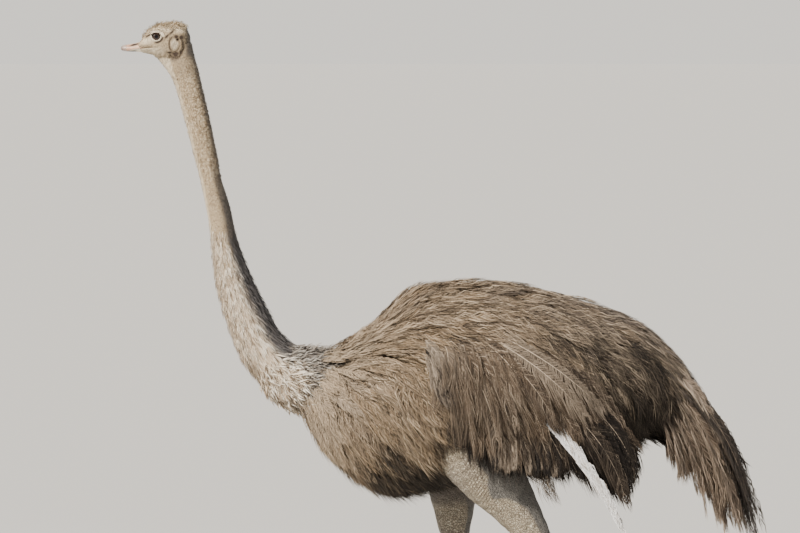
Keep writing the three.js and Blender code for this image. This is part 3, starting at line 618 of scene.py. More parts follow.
HIDE = {
    "base": (0.50, 0.385, 0.245, 1),
    "stubble": (0.135, 0.092, 0.056, 1),
    "dark": (0.042, 0.042, 0.048, 1),
    "brown": (0.046, 0.029, 0.019, 1),
    "pale": (0.82, 0.71, 0.53, 1),
    # Painted shade for the hide hidden under down and plumes.
    "under_plume_shade": (0.035, 0.025, 0.019, 1),
}


def mixed(tree, share, first, second):
    made = node(tree, "ShaderNodeMix", {"data_type": "RGBA"}, Factor=share, A=first, B=second)
    return made.outputs["Result"]


def reckon(tree, operation, *values):
    """What an operation makes of numbers or sockets."""
    made = node(tree, "ShaderNodeMath", {"operation": operation, "use_clamp": False})
    for socket, value in zip(made.inputs, values):
        if isinstance(value, bpy.types.NodeSocket):
            tree.links.new(value, socket)
        else:
            socket.default_value = value
    return made.outputs[0]


def times(tree, first, second):
    return reckon(tree, "MULTIPLY", first, second)


def coated(tree, colour, *coats):
    """A colour under coats of (share, strength, colour), laid one over another."""
    for share, strength, coat in coats:
        colour = mixed(tree, times(tree, share, strength), colour, coat)
    return colour


def noise(tree, vector, scale, detail=2.0):
    return node(tree, "ShaderNodeTexNoise", Vector=vector, Scale=scale, Detail=detail).outputs["Fac"]


def object_place(tree):
    return node(tree, "ShaderNodeTexCoord").outputs["Object"]


def value_of(tree, name):
    return node(tree, "ShaderNodeAttribute", {"attribute_name": name}).outputs["Fac"]


def channels(tree, name):
    """The red, green, blue and alpha shares that a mesh stores under a name."""
    layer = node(tree, "ShaderNodeAttribute", {"attribute_name": name}).outputs
    share = node(tree, "ShaderNodeSeparateColor", Color=layer["Color"]).outputs
    return share["Red"], share["Green"], share["Blue"], layer["Alpha"]


def store(mesh, name, kind, values):
    """Stores values on the points of a mesh, for its material or for what grows from it."""
    field = {"FLOAT": "value", "FLOAT_VECTOR": "vector", "FLOAT_COLOR": "color"}[kind]
    layer = mesh.attributes.new(name, kind, "POINT")
    layer.data.foreach_set(field, np.asarray(values, np.float32).ravel())


def ramped(tree, value, low, high):
    """A share that rises from 0 at low to 1 at high, eased at both ends."""
    settings = {"interpolation_type": "SMOOTHSTEP"}
    made = node(tree, "ShaderNodeMapRange", settings, Value=value, From_Min=low, From_Max=high)
    return made.outputs["Result"]


def new_tree(name, kind, inputs, outputs):
    """A node tree with its sockets: the tree, what comes in, what goes out, and how each is called inside."""
    tree = bpy.data.node_groups.new(name, kind)
    sockets = {}
    for direction, listed in (("INPUT", inputs), ("OUTPUT", outputs)):
        for socket, content in listed.items():
            made = tree.interface.new_socket(socket, in_out=direction, socket_type=f"NodeSocket{content}")
            sockets[socket] = made.identifier
    given = tree.nodes.new("NodeGroupInput").outputs
    return tree, given, tree.nodes.new("NodeGroupOutput").inputs, sockets


def crease_group():
    """Fine creases of skin: a net of folds and a softer swell. Puts out height, and a mask of pits along the
    crease lines, where colour is darkened as painted shade.
    """
    inputs = {"Scale": "Float", "Swell": "Float", "Vector": "Vector"}
    outputs = {"Height": "Float", "Pits": "Float"}
    group, given, result, _ = new_tree("skin_creases", "ShaderNodeTree", inputs, outputs)
    warp = node(group, "ShaderNodeTexNoise", Vector=given["Vector"], Scale=given["Swell"], Detail=3.0)
    bent = node(group, "ShaderNodeVectorMath", {"operation": "MULTIPLY_ADD"})
    group.links.new(warp.outputs["Color"], bent.inputs[0])
    bent.inputs[1].default_value = (0.012, 0.012, 0.012)
    group.links.new(given["Vector"], bent.inputs[2])
    cells = {"feature": "DISTANCE_TO_EDGE"}
    net = node(group, "ShaderNodeTexVoronoi", cells, Vector=bent.outputs[0], Scale=given["Scale"])
    folds = ramped(group, net.outputs["Distance"], 0.0, 0.16)
    height = reckon(group, "ADD", folds, times(group, warp.outputs["Fac"], 0.9))
    group.links.new(height, result["Height"])
    group.links.new(reckon(group, "SUBTRACT", 1.0, folds), result["Pits"])
    return group


creases = crease_group()


def creased(tree, vector, scale, swell):
    made = node(tree, "ShaderNodeGroup", {"node_tree": creases}, Scale=scale, Swell=swell)
    tree.links.new(vector, made.inputs["Vector"])
    return made.outputs["Height"], made.outputs["Pits"]


def dressed(tree, surface, colour, height, distance):
    """Sets the colour of a surface, and its bumps: their height, and how many metres it stands for."""
    tree.links.new(colour, surface.inputs["Base Color"])
    bump = node(tree, "ShaderNodeBump", Height=height, Distance=distance, Strength=1.0)
    tree.links.new(bump.outputs["Normal"], surface.inputs["Normal"])


hide_finish, tree, surface = finish("hide", 0.62, 0.3)
where = object_place(tree)
dark, brown, pale, under_plume_shade = channels(tree, "markings")
height, pits = creased(tree, where, 420.0, 60.0)
speck = node(tree, "ShaderNodeTexVoronoi", Vector=where, Scale=190.0, Randomness=1.0)
stubble = reckon(tree, "SUBTRACT", 1.0, ramped(tree, speck.outputs["Distance"], 0.18, 0.5))
stubble = times(tree, stubble, ramped(tree, noise(tree, where, 26.0, 4.0), 0.32, 0.6))
colour = coated(
    tree,
    HIDE["base"],
    (stubble, 0.75, HIDE["stubble"]),
    # Painted shade along the hide's crease lines.
    (pits, 0.3, HIDE["stubble"]),
    (dark, 0.85, HIDE["dark"]),
    (pale, 1.0, HIDE["pale"]),
    (brown, 1.0, HIDE["brown"]),
    (under_plume_shade, 1.0, HIDE["under_plume_shade"]),
)
dressed(tree, surface, colour, height, 0.0007)

hide_points, quads, fans = joined([head_shell, neck_shell, body_shell, wing_arm(-1), wing_arm(1)])
upper_count = len(head_shell[0]) + len(neck_shell[0])
hide_stations = np.zeros(len(hide_points))
body_rows = np.linspace(BODY_SHELL["from"], BODY_SHELL["to"], BODY_SHELL["rows"])
body_end = upper_count + len(body_shell[0])
body_stations = np.repeat(body_rows, BODY_SHELL["sides"])
hide_stations[upper_count:body_end] = np.append(body_stations, [BODY_SHELL["from"], BODY_SHELL["to"]])
hide_stations[body_end:] = WING_ARM_STATION
hide = shown("hide", hide_finish, placed(hide_points), quads, fans)
marks = markings(hide_points)
x, y, z = hide_points[upper_count:].T
# Painted shade: the hide under the body's plumes is painted near black.
under_plumes = np.maximum(smooth_step(1000, 900, z), smooth_step(-400, -280, x))
marks[upper_count:, 3] = np.maximum(marks[upper_count:, 3], under_plumes)
store(hide.data, "markings", "FLOAT_COLOR", marks)
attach(hide, "root")
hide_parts("head", "neck_upper", "neck_middle", "neck_lower", "neck_base", "torso")

# ---- Bill ----------------------------------------------------------------------------------------
# A broad, flat bill of pinkish horn in two closed halves, with a harder nail at the tip and long
# slits of nostrils. Both halves are rooted in the head.

BILL = [
    [-893, 0, 1919.5, 3.5, 4, 8],
    [-884, 0, 1919, 8, 7, 14],
    [-868, 0, 1919.5, 10.5, 9, 18],
    [-850, 0, 1920.5, 13, 10.5, 21],
    [-835, 0, 1922, 15, 13, 22],
    [-820, 0, 1923, 16, 13, 21],
]
BILL_MESH = {"rows": 150, "sides": 96}
NOSTRIL = {"x": -854, "y": 12.0, "z": 1930, "long": 12.5, "high": 2.8, "deep": 3.6, "tilt": 0.24}
BILL_COLOURS = {
    "horn": (0.63, 0.43, 0.29, 1),
    "flush": (0.59, 0.33, 0.225, 1),
    "nail": (0.31, 0.27, 0.255, 1),
    "dark": (0.035, 0.024, 0.020, 1),
    "cream": (0.93, 0.84, 0.66, 1),
}


def bill_half(upper):
    """Upper or lower half, cut flat along the mouth line, with its shares of nail; of dark, which is the
    nostril slit and tip rim on the upper half and painted shade on the front of the lower half; of flush
    along the mouth; and of cream."""
    stations = (len(BILL) - 1) * np.linspace(0, 1, BILL_MESH["rows"]) ** 1.4

    def lift(station, angle):
        near = np.clip(station / 0.5, 0, 1)
        tip = -3.4 * (1 - np.sqrt(1 - (1 - near) ** 2))
        return np.where(station < 0.5, tip, 0)

    points, quads, fans = tube(BILL, stations, BILL_MESH["sides"], lift)
    x, y, z = points.T
    line = mouth_height(x)
    if upper:
        points[:, 2] += 1.1 * bell(y / 5, 1) * (z > line + 3)
        nail_step = smooth_step(-878, -876.5, x) - 1
        points[:, 2] += -0.7 * nail_step * (z > line + 2)
        across = x - NOSTRIL["x"]
        rise = z - NOSTRIL["z"] - NOSTRIL["tilt"] * across
        slit = bell(np.hypot(across / NOSTRIL["long"], rise / NOSTRIL["high"]), 1.0) * (np.abs(y) > 5)
        points[:, 1] -= np.sign(y) * NOSTRIL["deep"] * slit
        points[:, 2] = np.maximum(points[:, 2], line + 0.25)
        points[:, 1] *= 1 + 0.03 * smooth_step(line + 4, line, z)
    else:
        points[:, 1] *= 0.93
        points[:, 2] = np.minimum(points[:, 2], line - 0.25)
    marks = np.zeros((len(points), 4))
    marks[:, 0] = smooth_step(-874, -880, x)
    if upper:
        marks[:, 1] = np.maximum(np.clip(slit * 1.6, 0, 1), 0.5 * smooth_step(-883, -893, x))
    else:
        # Painted shade: the front of the lower half is darkened below the mouth line, as its shaded side.
        marks[:, 1] = 0.95 * smooth_step(-840, -858, x) * smooth_step(line - 1.0, line - 4, z)
    marks[:, 2] = bell((z - line) / 3.5, 1) * smooth_step(-880, -868, x)
    marks[:, 3] = 0 if upper else smooth_step(-874, -858, x) * smooth_step(line - 12, line - 6, z)
    return points, quads, fans, marks


bill_finish, tree, surface = finish("bill_horn", 0.38, 0.42)
where = object_place(tree)
nail, slit, edge, lower = channels(tree, "bill")
stretch = node(tree, "ShaderNodeMapping", Vector=where, Scale=(0.35, 1, 1))
grain = noise(tree, stretch.outputs[0], 320.0, 6.0)
colour = coated(
    tree,
    BILL_COLOURS["horn"],
    (ramped(tree, noise(tree, where, 60.0, 3.0), 0.4, 0.62), 1.0, BILL_COLOURS["flush"]),
    (edge, 0.6, BILL_COLOURS["flush"]),
    (nail, 0.7, BILL_COLOURS["nail"]),
    (ramped(tree, grain, 0.5, 0.3), 0.35, BILL_COLOURS["nail"]),
    (lower, 1.0, BILL_COLOURS["cream"]),
    # Dark: nostril slits and tip rim on the upper half, painted shade on the front of the lower half.
    (slit, 1.0, BILL_COLOURS["dark"]),
)
dressed(tree, surface, colour, grain, 0.0004)

for half, upper in (("upper", True), ("lower", False)):
    points, quads, fans, marks = bill_half(upper)
    horn = shown(f"bill_horn_{half}", bill_finish, placed(points), quads, fans)
    store(horn.data, "bill", "FLOAT_COLOR", marks)
    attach(horn, "root")
    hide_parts(f"bill_{half}")

# ---- Eyes ----------------------------------------------------------------------------------------
# The eyeballs are very large and meet almost in the middle of the head. The iris is dark brown, and
# a glossy cornea covers all. A rim of cream skin frames each, and long lashes grow along its top.

GAZE = (0.07, 1.0, 0.11)
PUPIL = 5.2
IRIS = 11.2
EYE_MESH = {"rows": 60, "sides": 80}
EYE_COLOURS = {
    "pupil": (0.004, 0.003, 0.003, 1),
    "iris": (0.030, 0.018, 0.013, 1),
    "flecks": (0.062, 0.041, 0.030, 1),
    "rim": (0.012, 0.008, 0.006, 1),
    "lid": (0.84, 0.74, 0.57, 1),
    "lid_fold": (0.38, 0.26, 0.17, 1),
    "lid_brown_and_lash_shadow": (0.15, 0.075, 0.045, 1),
    "lash": (0.012, 0.009, 0.008, 1),
    "worn_lash": (0.06, 0.045, 0.035, 1),
}
# Lashes: angles round the eye, lengths, half thickness, and their sweep along X, outwards and along Z.
LASHES = {"count": 40, "from": 0.25, "to": 2.95, "long": (7, 11), "thick": 0.45, "sweep": (-0.3, 0.85, -0.12)}
LID = {"thick": 1.5, "ride": 0.9, "spread": 1.14, "raised": 0.22, "steps": 120, "sides": 14}

eye_finish, tree, surface = finish("eye", 0.3, 0.1)
off_axis, round_axis, spoke, _ = channels(tree, "iris")
spokes = node(tree, "ShaderNodeCombineXYZ", X=times(tree, round_axis, 30.0), Y=spoke)
fleck = noise(tree, spokes.outputs[0], 1.4, 4.0)
pupil_edge = PUPIL / EYE["radius"]
iris_edge = IRIS / EYE["radius"]
colour = coated(
    tree,
    EYE_COLOURS["iris"],
    (ramped(tree, fleck, 0.42, 0.68), 1.0, EYE_COLOURS["flecks"]),
    (ramped(tree, off_axis, pupil_edge + 0.03, pupil_edge - 0.02), 1.0, EYE_COLOURS["pupil"]),
    (ramped(tree, off_axis, iris_edge - 0.12, iris_edge), 1.0, EYE_COLOURS["rim"]),
)
for coat, value in (("Weight", 1.0), ("Roughness", 0.03), ("IOR", 1.34)):
    surface.inputs[f"Coat {coat}"].default_value = value
veins = node(tree, "ShaderNodeTexNoise", Scale=500.0)
dressed(tree, surface, colour, veins.outputs["Fac"], 0.00003)

for name, side in (("left", -1), ("right", 1)):
    points, quads, fans = ball((0, 0, 0), (1, 1, 1), **EYE_MESH)
    gaze = unit(np.array(GAZE) * np.array([1, side, 1]))
    # The ball's poles lie along X, so its X becomes the gaze.
    upward = np.array([0, 0, 1.0])
    across = unit(np.cross(upward, gaze))
    upward = np.cross(gaze, across)
    turned = points[:, :1] * gaze + points[:, 1:2] * across + points[:, 2:] * upward
    turned = eye_centre(side) + turned * EYE["radius"]
    eyeball = shown(f"eyeball_{name}", eye_finish, placed(turned), quads, fans)
    off_axis = np.where(points[:, 0] > 0, np.hypot(points[:, 1], points[:, 2]), 1)
    round_axis = np.arctan2(points[:, 2], points[:, 1]) / (2 * np.pi) + 0.5
    values = np.stack([off_axis, round_axis, off_axis, np.ones(len(points))], axis=-1)
    store(eyeball.data, "iris", "FLOAT_COLOR", values)
    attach(eyeball, "root")
    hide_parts(f"eye_{name}")


def lid_line(turn, side, out, spread):
    """Points round the opening of the eye, riding on the eyeball."""
    tilt = EYE_OPENING["tilt"]
    above = np.sin(turn) > 0
    height = np.where(above, EYE_OPENING["high"], EYE_OPENING["low"])
    bent = np.where(above, 2 / EYE_OPENING["square"], 1.0)
    spread = spread + LID["raised"] * np.clip(np.sin(turn), 0, 1)
    corner = 1 + 0.10 * np.abs(np.cos(turn)) ** 6
    along = np.sign(np.cos(turn)) * np.abs(np.cos(turn)) ** bent * EYE_OPENING["long"] * corner * spread
    rise = np.sign(np.sin(turn)) * np.abs(np.sin(turn)) ** bent * height * spread
    x = along * math.cos(tilt) - rise * math.sin(tilt) + EYE_OPENING["x"] - EYE["x"]
    z = along * math.sin(tilt) + rise * math.cos(tilt) + EYE_OPENING["z"] - EYE["z"]
    radius = EYE["radius"] + out
    y = np.sqrt(np.maximum(radius**2 - x**2 - z**2, 9))
    return np.stack([EYE["x"] + x, side * (EYE["y"] + y), EYE["z"] + z], axis=-1)


def lid_ring(side):
    """A closed, rounded rim round the eye, thicker above, and how brown it is at each point: along the inner
    edge of the upper lid the brown is painted shadow of the lashes, and at the lower rear corner it is the
    lid's own colour.
    """
    steps, sides = LID["steps"], LID["sides"]
    turns = np.arange(steps) / steps * 2 * np.pi
    middle = lid_line(turns, side, LID["ride"], LID["spread"])
    ahead = unit(np.roll(middle, -1, axis=0) - np.roll(middle, 1, axis=0))
    out = unit(middle - eye_centre(side))
    beside = np.cross(ahead, out)
    around = np.arange(sides) / sides * 2 * np.pi
    thick = LID["thick"] * (1 + 0.75 * np.clip(np.sin(turns), 0, 1))[:, None, None]
    flat = beside[:, None] * np.cos(around)[None, :, None] * 1.35
    ring = flat + out[:, None] * np.sin(around)[None, :, None]
    points = (middle[:, None] + ring * thick).reshape(-1, 3)
    step, place = np.meshgrid(np.arange(steps), np.arange(sides), indexing="ij")
    here, ahead = step * sides, (step + 1) % steps * sides
    beside = (place + 1) % sides
    corners = [here + place, ahead + place, ahead + beside, here + beside]
    quads = np.stack(corners, axis=-1).reshape(-1, 4)
    if side > 0:
        quads = quads[:, ::-1]
    inward = side * np.cos(around)[None, :]
    # Painted shadow of the lashes along the inner edge of the upper lid.
    inner = smooth_step(0.66, 0.95, inward) * np.clip(np.sin(turns), 0, 1)[:, None]
    corner = 0.9 * bell(turns - 2 * np.pi + 0.75, 0.8)[:, None] * smooth_step(0.3, -0.6, inward)
    return points, quads, np.maximum(inner, corner).ravel()


lid_finish, tree, surface = finish("lid_skin", 0.5, 0.35)
height, pits = creased(tree, object_place(tree), 900.0, 160.0)
# Painted shade in the lid's creases.
folded = (pits, 0.5, EYE_COLOURS["lid_fold"])
colour = coated(tree, EYE_COLOURS["lid"], folded, (value_of(tree, "brown"), 1.0, EYE_COLOURS["lid_brown_and_lash_shadow"]))
dressed(tree, surface, colour, height, 0.0003)

lash_finish, tree, surface = finish("lashes", 0.5, 0.3)
grain = noise(tree, object_place(tree), 300.0)
colour = mixed(tree, grain, EYE_COLOURS["lash"], EYE_COLOURS["worn_lash"])
tree.links.new(colour, surface.inputs["Base Color"])

random = np.random.default_rng(5)
for name, side in (("left", -1), ("right", 1)):
    points, quads, brown = lid_ring(side)
    lid = shown(f"lid_{name}", lid_finish, placed(points), quads)
    store(lid.data, "brown", "FLOAT", brown)
    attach(lid, "root")
    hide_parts("head")
    count = LASHES["count"]
    turns = np.linspace(LASHES["from"], LASHES["to"], count) + random.normal(0, 0.02, count)
    roots = lid_line(turns, side, LID["ride"] + 1.4, LID["spread"] - 0.12)
    away = unit(roots - eye_centre(side))
    length = random.uniform(*LASHES["long"], count)[:, None]
    rise = np.array(LASHES["sweep"]) * np.array([1, side, 1])
    middles = roots + (away * 0.35 + rise * 0.8) * length * 0.5
    tips = middles + (rise * 0.9 + np.array([0, 0, 0.12])) * length * 0.5
    along = unit(tips - roots)
    wide = unit(np.cross(along, away)) * LASHES["thick"]
    deep = unit(np.cross(along, wide)) * LASHES["thick"]
    rings = []
    for base, size in ((roots, 1), (middles, 0.7)):
        rings += [base + offset * size for offset in (wide, deep, -wide - deep)]
    points = np.concatenate([np.stack(rings, axis=1).reshape(-1, 3), tips])
    lash = (np.arange(count) * 6)[:, None]
    quads = np.concatenate([lash + [0, 1, 4, 3], lash + [1, 2, 5, 4], lash + [2, 0, 3, 5]])
    end = (count * 6 + np.arange(count))[:, None]
    fans = [np.concatenate([lash + pair, end], axis=1) for pair in ([3, 4], [4, 5], [5, 3])]
    fans = np.concatenate(fans + [lash + [0, 2, 1]])
    lashes = shown(f"lashes_{name}", lash_finish, placed(points), quads, fans)
    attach(lashes, "root")
    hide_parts("head")

# ---- Legs ----------------------------------------------------------------------------------------
# Bare, muscular drumsticks under loose dimpled skin run into lean, scaly shanks and two toes each. The
# left leg trails and the right one carries her. Every sole rests flat on the floor.

JOINTS = {
    "left": {
        "side": -1,
        "behind": 17,  # how far the flesh of the drumstick lies behind its bone
        "knee": (8, -120, 876),
        "ankle": (314, -108, 481),
        "foot": (345, -105, 88),
    },
    "right": {
        "side": 1,
        "behind": 0,
        "knee": (28, 120, 945),
        "ankle": (45, 108, 478),
        "foot": (4, 105, 88),
    },
}
# Share of the bone, reach behind, reach in front and reach to each side.
DRUMSTICK = [
    (0.0, 82, 82, 60),
    (0.2, 100, 100, 78),
    (0.42, 88, 88, 66),
    (0.59, 68, 68, 53),
    (0.79, 46, 46, 37),
    (0.93, 33, 33, 29),
    (1.02, 33, 33, 28),
]
SHANK = [
    (-0.05, 30, 28, 25),
    (0.0, 42, 36, 33),
    (0.1, 34, 30, 27),
    (0.25, 27, 25, 21),
    (0.5, 24, 23, 19),
    (0.75, 26, 25, 22),
    (0.92, 30, 31, 29),
    (0.99, 29, 32, 30),
    (1.05, 18, 20, 20),
]
# Reach and place of the rounded joints between limbs, from the joint itself.
KNUCKLES = {"ankle": ((38, 33, 42), (2, 0, 2)), "foot": ((33, 33, 37), (3, 0, -6))}
# Forward of the foot joint, out to the side, height, reach above, below and to each side.
BIG_TOE = [
    (258, -4, 18, 12, 19, 14),
    (236, -4, 24, 19, 26, 22),
    (190, -3, 29, 24, 31, 28),
    (135, -2, 33, 28, 35, 32),
    (86, 0, 42, 32, 44, 35),
    (38, 0, 68, 30, 32, 32),
    (0, 0, 88, 26, 26, 26),
]
SMALL_TOE = [
    (158, 84, 14, 9, 15, 11),
    (132, 71, 19, 15, 21, 18),
    (92, 52, 25, 20, 27, 22),
    (46, 28, 50, 24, 26, 24),
    (6, 8, 80, 22, 22, 22),
]
LEG_VOXEL = 3.2
# Painted shadow: the skin is painted greyer behind this line down the drumstick, as the plumage's shadow on
# it.
HAM_SHADOW_LINE = {
    "share": [0.3, 0.385, 0.42, 0.47, 0.50, 0.545, 0.60, 0.67, 0.73, 0.83, 1.0],
    "across": [10, 8, -8, -19, -20, 12, 27, 38, 36, 26, 18],
}
LEG_COLOURS = {
    "skin": (0.40, 0.335, 0.24, 1),
    "flush": (0.31, 0.26, 0.21, 1),
    "dimple": (0.155, 0.12, 0.085, 1),
    "worn": (0.60, 0.54, 0.42, 1),
    # shade is painted shade, laid on the drumstick by its grey share.
    "shade": (0.125, 0.118, 0.108, 1),
    "scale": (0.36, 0.31, 0.25, 1),
    "joint": (0.12, 0.10, 0.085, 1),
}


def limb(start, end, sections, behind=0):
    """A limb's form along its bone, whose flesh may lie further behind the bone in its middle."""
    start, end = np.array(start, float), np.array(end, float)
    rows = []
    for share, back, front, side in sections:
        more = behind * min(1.0, max(0.0, 1.02 - share) * 3)
        rows.append([*(start + (end - start) * share), back + more, front - more, side])
    return rows


def toe_form(joint, sections):
    x, y = joint["foot"][:2]
    side = joint["side"]
    return [[x - forward, y + side * out, height, *reaches] for forward, out, height, *reaches in sections]


def even_tube(sections, rows, sides, lift=0.0):
    """A tube with a rounded cap at each end."""
    last = len(sections) - 1
    stations = np.linspace(0, last, rows)
    smallest = min(sections[0][3:] + sections[-1][3:])

    def rounded(station, angle):
        inner = lift(station, angle) if callable(lift) else lift
        near = np.minimum(station, last - station) / (last * 0.02)
        return inner - smallest * 0.5 * (1 - np.sqrt(1 - (1 - np.clip(near, 0, 1)) ** 2))

    return tube(sections, stations, sides, rounded)


leg_finish, tree, surface = finish("leg_skin", 0.58, 0.32)
where = object_place(tree)
scaly, brown, grey, folded = channels(tree, "leg")
height, pits = creased(tree, where, 170.0, 34.0)
follicle = node(tree, "ShaderNodeTexVoronoi", Vector=where, Scale=105.0).outputs["Distance"]
dimple = ramped(tree, follicle, 0.34, 0.08)
scales = node(tree, "ShaderNodeTexVoronoi", {"feature": "DISTANCE_TO_EDGE"}, Vector=where, Scale=120.0)
gap = ramped(tree, scales.outputs["Distance"], 0.12, 0.02)
bare = reckon(tree, "SUBTRACT", 1.0, scaly)
slanted = node(tree, "ShaderNodeMapping", Vector=where, Rotation=(0, -0.583, 0))
wave = node(tree, "ShaderNodeTexWave", Vector=slanted.outputs[0], Scale=37.0, Distortion=3.0, Detail=2.0)
fold = times(tree, ramped(tree, wave.outputs["Fac"], 0.5, 0.1), folded)
colour = coated(
    tree,
    LEG_COLOURS["skin"],
    (ramped(tree, noise(tree, where, 7.0, 4.0), 0.42, 0.66), 1.0, LEG_COLOURS["flush"]),
    (ramped(tree, noise(tree, where, 150.0, 3.0), 0.52, 0.62), 0.85, LEG_COLOURS["worn"]),
    # Painted shade: the bare skin is darkened in its dimples, along its crease lines and along its fold
    # lines, where all three sink.
    (times(tree, dimple, 0.55), bare, LEG_COLOURS["dimple"]),
    (pits, 0.72, LEG_COLOURS["dimple"]),
    (fold, 0.9, LEG_COLOURS["dimple"]),
    (scaly, 0.85, LEG_COLOURS["scale"]),
    (gap, times(tree, scaly, 0.7), LEG_COLOURS["joint"]),
    (ramped(tree, noise(tree, where, 38.0, 5.0), 0.5, 0.75), 0.4, LEG_COLOURS["dimple"]),
    # Painted shade: the grey share darkens the drumstick behind its shadow line and on its inner side.
    (grey, 0.93, LEG_COLOURS["shade"]),
    # Brown: the pads and knuckles in their own colour, and painted shade high on the inner side.
    (brown, 1.0, LEG_COLOURS["joint"]),
)
bare_height = times(tree, reckon(tree, "SUBTRACT", height, dimple), bare)
scale_height = times(tree, reckon(tree, "SUBTRACT", 1.0, gap), times(tree, scaly, 1.6))
height = reckon(tree, "ADD", reckon(tree, "ADD", bare_height, scale_height), times(tree, fold, -0.8))
dressed(tree, surface, colour, height, 0.0026)


def skin_folds(points, normals, joint):
    """Loose skin: folds that cross the drumstick, and knuckles and creases at ankle and toes."""
    knee, ankle = (np.array(joint[name], float) for name in ("knee", "ankle"))
    bone = ankle - knee
    share = ((points - knee) @ bone) / (bone @ bone)
    thigh = smooth_step(1.0, 0.8, share) * (points[:, 2] > ankle[2] - 60)
    across = points[:, 0] * 0.03 + points[:, 1] * 0.05
    lift = thigh * 0.9 * np.sin(share * 75 + 3 * np.sin(across * 1.7) + 2 * np.sin(points[:, 2] * 0.021))
    lift = lift * (0.4 + 0.6 * np.sin(across * 2.3 + share * 9) ** 2)
    tendon = bell(share - 0.78, 0.2) * np.cos(np.arctan2(points[:, 1] - knee[1], 40) * 3)
    lift = lift + 0.8 * tendon
    from_ankle = np.linalg.norm(points - ankle, axis=1)
    lift = lift + 1.0 * bell(from_ankle / 55, 1) * np.sin(points[:, 2] * 0.55)
    low = smooth_step(95, 60, points[:, 2])
    lift = lift - 0.9 * low * np.cos(points[:, 0] * 0.28) ** 8
    moved = points + normals * lift[:, None]
    moved[:, 2] = np.maximum(moved[:, 2], 0)
    return moved


def leg_marks(points, joint):
    """Shares of scales; brown, with painted shade high on the inner side; grey, which is painted shade; and
    folds, whose lines are painted darker as shade.
    """
    ankle = joint["ankle"][2]
    scaly = smooth_step(ankle + 70, ankle + 10, points[:, 2])
    pad = smooth_step(14, 3, points[:, 2]) * 0.8
    knuckle = 0.35 * bell((points[:, 2] - ankle) / 22, 1)
    knee = np.array([joint["knee"][0], joint["knee"][2]], float)
    bone = np.array([joint["ankle"][0], ankle]) - knee
    length = np.linalg.norm(bone)
    from_knee = points[:, [0, 2]] - knee
    share = from_knee @ bone / length**2
    across = (from_knee[:, 1] * bone[0] - from_knee[:, 0] * bone[1]) / length
    edge = np.interp(share, HAM_SHADOW_LINE["share"], HAM_SHADOW_LINE["across"])
    above_ankle = smooth_step(1.1, 0.95, share)
    # Painted shadow behind the line down the drumstick.
    grey = smooth_step(-4, 5, across - edge) * above_ankle
    # Painted shade on the inner side of each drumstick: greyer all down it, and a darker brown high up under
    # the plumage.
    inward = (joint["knee"][1] - points[:, 1]) * math.copysign(1, joint["knee"][1])
    inner = smooth_step(-10, 30, inward) * above_ankle
    high = smooth_step(620, 665, points[:, 2])
    grey = np.maximum(grey, (0.3 + 0.4 * high) * inner)
    brown = np.maximum.reduce([pad, knuckle * scaly, 0.8 * high * inner])
    # Where fold lines cross the drumstick; they are sunk and painted darker as shade.
    folded = bell(np.hypot((share - 0.42) / 0.13, (across + 26) / 34), 1.0)
    return np.stack([scaly, brown, grey, folded], axis=-1)


for name, joint in JOINTS.items():
    forms = [
        even_tube(limb(joint["knee"], joint["ankle"], DRUMSTICK, joint["behind"]), 90, 60),
        even_tube(limb(joint["ankle"], joint["foot"], SHANK), 80, 44, -1.2),
        even_tube(toe_form(joint, BIG_TOE), 70, 44, -0.8),
        even_tube(toe_form(joint, SMALL_TOE), 50, 36, -0.8),
    ]
    for place, (reach, offset) in KNUCKLES.items():
        forms.append(ball(np.array(joint[place]) + offset, reach))
    points, normals, quads = fused(forms, LEG_VOXEL, 8)
    points = skin_folds(points, normals, joint)
    leg = shown(f"leg_{name}", leg_finish, placed(points), quads)
    store(leg.data, "leg", "FLOAT_COLOR", leg_marks(points, joint))
    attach(leg, "root")
    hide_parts(f"thigh_{name}", f"shank_{name}", f"toe_big_{name}", f"toe_small_{name}")

# ---- Leg plates ----------------------------------------------------------------------------------
# Broad horny plates lie down the front of each shank and along the top of each toe, each one
# overlapping the next like a tile. One shape is laid along each row and stretched to fit.

# Stations, how many, half width as a share of the limb, and the angle round it that the row lies at.
PLATE_ROWS = {
    "shank": {"from": 0.75, "to": 6.75, "count": 30, "wide": 0.98, "front": math.pi},
    "big": {"from": 0.35, "to": 5.4, "count": 19, "wide": 0.93, "front": 0.0},
    "small": {"from": 0.35, "to": 3.4, "count": 12, "wide": 0.93, "front": 0.0},
}
PLATE_OVERLAP = 1.45  # a plate's length over the step to the next
PLATE_SHAPE = {"arc": 64, "columns": 14, "rows": 7, "thick": 0.075}
PLATE_COLOURS = {
    "horn": (0.40, 0.345, 0.28, 1),
    "worn": (0.52, 0.47, 0.39, 1),
    "rim": (0.13, 0.105, 0.085, 1),
}


